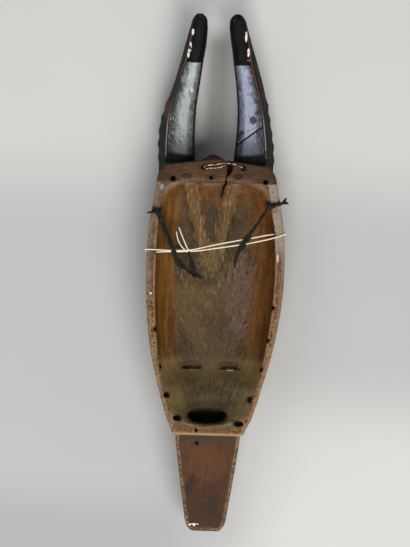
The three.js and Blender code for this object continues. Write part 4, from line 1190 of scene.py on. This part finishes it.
# Cloth ties
# Torn strips of black cotton. The left one is knotted at its rim hole and again in the hollow,
# and doubles back; the right one is knotted at its hole, with a frayed end over the rim.
TIE_LEFT = [
    (-72.8, 240.4, 1.9), (-69.2, 240.8, 2.1), (-64.2, 241.5, 2.4), (-60.4, 240.1, 2.6),
    (-57.6, 235.3, 2.7), (-55, 228.6, 3), (-50.6, 219.7, 3.4), (-47.5, 213.2, 3.8),
    (-44.9, 206.6, 4.2), (-42.5, 200.5, 4.4),
    (-41, 195.5, 4.1), (-39.2, 191.5, 0), (-36.3, 187, -6.5), (-32.1, 182.5, -15), (-27.4, 178.4, -24),
    (-22.6, 175.2, -32), (-18.4, 173.1, -36.6),
]
TIE_LEFT_BACK = [
    (-18.4, 173.1, -36.6), (-19.3, 178.7, -31), (-20.9, 184.2, -22), (-22.8, 189.6, -12.5),
    (-24.6, 194.3, -5), (-27.4, 198.9, -2.8), (-31.2, 202.1, -2.7), (-34.5, 203.4, -2),
    (-37.4, 203.9, -0.2), (-40.4, 204.2, 2),
]
TIE_LEFT_TAIL = [(-18.4, 173.1, -36.6), (-14.1, 171.3, -38), (-9.7, 169.6, -38.6)]
TIE_LEFT_RIM_KNOT = {"at": (-61.7, 241.9, 2.9), "size": (12.4, 7.4, 4.4)}
TIE_LEFT_POINTS = [
    [(-63.6, 242.6, 3.1), (-65, 245, 3.4), (-65.6, 247.2, 3.2)],
    [(-59, 242.8, 3.1), (-57.4, 245, 3.4), (-56.4, 246.9, 3.2)],
]
TIE_LEFT_HOLLOW_KNOT = {"at": (-18.4, 173.1, -36.4), "size": (6.5, 6, 5)}
TIE_RIGHT = [
    (80.7, 256.2, 2.4), (75.9, 255, 2.3), (70.7, 253.5, 2.2), (65.7, 252, 2.2), (61.3, 249.7, 2.4),
    (57.3, 244.5, 2.6), (52.8, 237.4, 3), (47.7, 229.3, 3.7), (42.7, 221.9, 4.2), (38.1, 214.7, 4.5),
    (34.6, 209, 4.7), (31.7, 204.2, 1.9), (29.1, 199.1, -5.6), (27.3, 193.5, -15.5), (26.3, 188.2, -25),
    (25.9, 182.9, -34.4),
]
TIE_RIGHT_KNOT = {"at": (66, 250.9, 2.6), "size": (6, 5.4, 4)}
TIE_RIGHT_PRONGS = [
    [(74.5, 254, 2.5), (77.4, 256.4, 2.7), (79.4, 259.4, 2.9), (79.8, 261.4, 2.8)],
    [(74.5, 254, 2.4), (78.4, 255.2, 2.5), (81, 255, 2.5), (83, 254.4, 2.4)],
]
TIE_THICK = 1.4
KNOT_FOLD = 1.5
TIE_LEFT_SPREAD = [
    # mm along, width
    (0, 1.5), (6, 2.4), (12, 4.2), (18, 5), (62, 4.8), (72, 6.6), (82, 7.8), (87, 7), (91, 2.8),
]
TIE_BACK_SPREAD = [(0, 2.4), (8, 4.6), (20, 5), (28, 3.2), (34, 2.6)]
TIE_RIGHT_SPREAD = [(0, 4.6), (15, 4.6), (20, 2.8), (45, 3.2), (56, 6), (68, 6.4), (78, 4.4), (90, 2.8)]


def strip(spread, wave=0.0):
    """The outline of a torn strip: flat, rounded at its edges, uneven, and as wide in mm at
    each distance along as the spread says."""
    def outline(angle, run, from_end):
        width = curve(spread, run)[0]
        uneven = 1 + 0.16 * np.sin(run / 2.3 + wave) + 0.12 * np.sin(run / 0.9 + 2 * wave)
        worn = 0.5 + 0.5 * ease(from_end, 0, 2.5)
        across = width / 2 * uneven * worn * np.sign(np.cos(angle)) * np.abs(np.cos(angle)) ** 0.8
        fold = 0.3 * np.sin(run / 3.1 + wave) * np.cos(angle)
        return across, TIE_THICK / 2 * worn * np.sin(angle) + fold
    return outline


cloth = Finish("black_cloth", roughness=0.9, shine=0.25)
weave = cloth.node("ShaderNodeUVMap", {"uv_map": "weave"})
around, along = (cloth.node("ShaderNodeSeparateXYZ", inputs={0: weave}, output=k) for k in range(2))
warp = cloth.maths("SINE", around * 76)
weft = cloth.maths("SINE", along * 9)
folds = cloth.noise((1.6, 1.6, 1.6), detail=3)
dark = cloth.mix(folds.ease(0.4, 0.62), paint(13, 14, 13), paint(27, 33, 29))
dark = dark.coat(cloth.noise(7, detail=2).ease(0.58, 0.72) * 0.5, 50, 60, 52)
cloth.give(Base_Color=dark)
cloth.give(Normal=cloth.bump(folds + (warp + weft) * 0.12, 0.6, 0.5))

tie_left_line = line_through(TIE_LEFT, step=0.7)
tie_left_back_line = line_through(TIE_LEFT_BACK, step=0.7)
tie_right_line = line_through(TIE_RIGHT[1:], step=0.7)
tie_left = swept("tie_left_strip", [tie_left_line], strip(TIE_LEFT_SPREAD), cloth, sides=12, flat=True)
tie_left_back = swept(
    "tie_left_return", [tie_left_back_line], strip(TIE_BACK_SPREAD, wave=1.3), cloth, sides=12, flat=True
)


def tied(name, knots, loose, width):
    """Knots of a strip, with short loose ends."""
    own_size = np.array((width, width, KNOT_FOLD))
    lines = [knot_line(knot["at"], knot["size"] - own_size, tilt=0.5) for knot in knots]
    lines += [line_through(points, step=0.6) for points in loose]
    return swept(name, lines, strip([(0, width)], wave=0.7), cloth, sides=10)


tie_left_rim_knot = tied("tie_left_rim_knot", [TIE_LEFT_RIM_KNOT], TIE_LEFT_POINTS, 3.0)
tie_left_hollow_knot = tied("tie_left_hollow_knot", [TIE_LEFT_HOLLOW_KNOT], [TIE_LEFT_TAIL], 2.4)
tie_right = swept(
    "tie_right_strip", [tie_right_line], strip(TIE_RIGHT_SPREAD, wave=2.1), cloth, sides=12, flat=True
)
tie_right_knot = tied("tie_right_knot", [TIE_RIGHT_KNOT], TIE_RIGHT_PRONGS, 2.8)
for piece in (tie_left, tie_left_back, tie_left_rim_knot, tie_left_hollow_knot):
    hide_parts("tie_left")
for piece in (tie_right, tie_right_knot):
    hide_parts("tie_right")


# Repair wire
# Two strands of soft copper wire, stitched through holes over the crack in the top of the rim.
WIRE_WIDTH = 1.4
WIRE_LOWER = [
    (-11.6, 292.6, -4.5), (-11.7, 292.5, -1.8), (-11.2, 292, 0.3), (-9.8, 291.3, 1.25),
    (-8.2, 290.9, 1.3), (-3, 291.5, 1.25), (2.4, 291.7, 1.25), (8.3, 293.3, 1.25), (12, 294.7, 1.25),
]
WIRE_UPPER = [
    (-11.6, 292.6, -4.5), (-11.7, 292.7, -1.8), (-11.3, 292.9, 0.3), (-10, 293.4, 1.25),
    (-8.6, 293.9, 1.3), (-3.7, 294.9, 1.25), (1.5, 295.4, 1.25), (6, 296.3, 1.25),
    (11, 296.9, 1.25), (16.5, 297, 1.25),
    (21, 296.6, 1.25), (25, 295.6, 1.25), (28.6, 294, 1.3), (30.4, 293.2, 1.25), (31.7, 292.6, 0.3),
    (32.1, 292.3, -1.8), (32, 292.2, -4.5),
]


def drawn_wire(angle, run, from_end):
    reach = WIRE_WIDTH / 2 * (0.75 + 0.25 * ease(from_end, 0, 0.5)) + 0 * angle
    return reach * np.cos(angle), reach * np.sin(angle)


copper = Finish("copper_wire", roughness=0.42)
tarnish = copper.noise(2.6, detail=3).ease(0.44, 0.58)
copper.give(Base_Color=copper.mix(tarnish, paint(188, 160, 140), paint(88, 60, 46)))
copper.surface.inputs["Metallic"].default_value = 0.7
wire_lines = [line_through(WIRE_LOWER, step=0.5), line_through(WIRE_UPPER, step=0.5)]
wire = swept("stitched_wire", wire_lines, drawn_wire, copper)
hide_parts("repair_wire")


# Rim pin
# A small round-headed bright nail, driven into the left side of the rim.
PIN_AT = (-66.2, 152.7, 0)
PIN_PROFILE = [
    # radius and height over the rim, from the point up to the crown
    (0, -7), (0.9, -6.8), (0.9, 0.5), (2.2, 0.55), (2.3, 0.75), (2.15, 1.05), (1.7, 1.45), (1.0, 1.76),
    (0.0, 1.88),
]
PIN_STEPS = 28

turned = bmesh.new()
outline = [turned.verts.new((radius, 0, height)) for radius, height in PIN_PROFILE]
for a, b in zip(outline, outline[1:]):
    turned.edges.new((a, b))
bmesh.ops.spin(
    turned, geom=turned.verts[:] + turned.edges[:], cent=(0, 0, 0), axis=(0, 0, 1), dvec=(0, 0, 0),
    angle=2 * math.pi, steps=PIN_STEPS, use_merge=True,
)
bmesh.ops.remove_doubles(turned, verts=turned.verts, dist=1e-4)
bmesh.ops.translate(turned, verts=turned.verts, vec=PIN_AT)
bmesh.ops.transform(turned, matrix=LAY, verts=turned.verts)
bmesh.ops.recalc_face_normals(turned, faces=turned.faces)
steel = Finish("bright_steel", roughness=0.3)
dull = steel.noise(1.1, detail=3).ease(0.45, 0.65)
steel.give(Base_Color=steel.mix(dull, paint(206, 204, 198), paint(120, 104, 88)))
steel.surface.inputs["Metallic"].default_value = 1.0
pin = stand("bright_pin", turned, steel)
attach(pin, "root")
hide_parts("rim_pin")
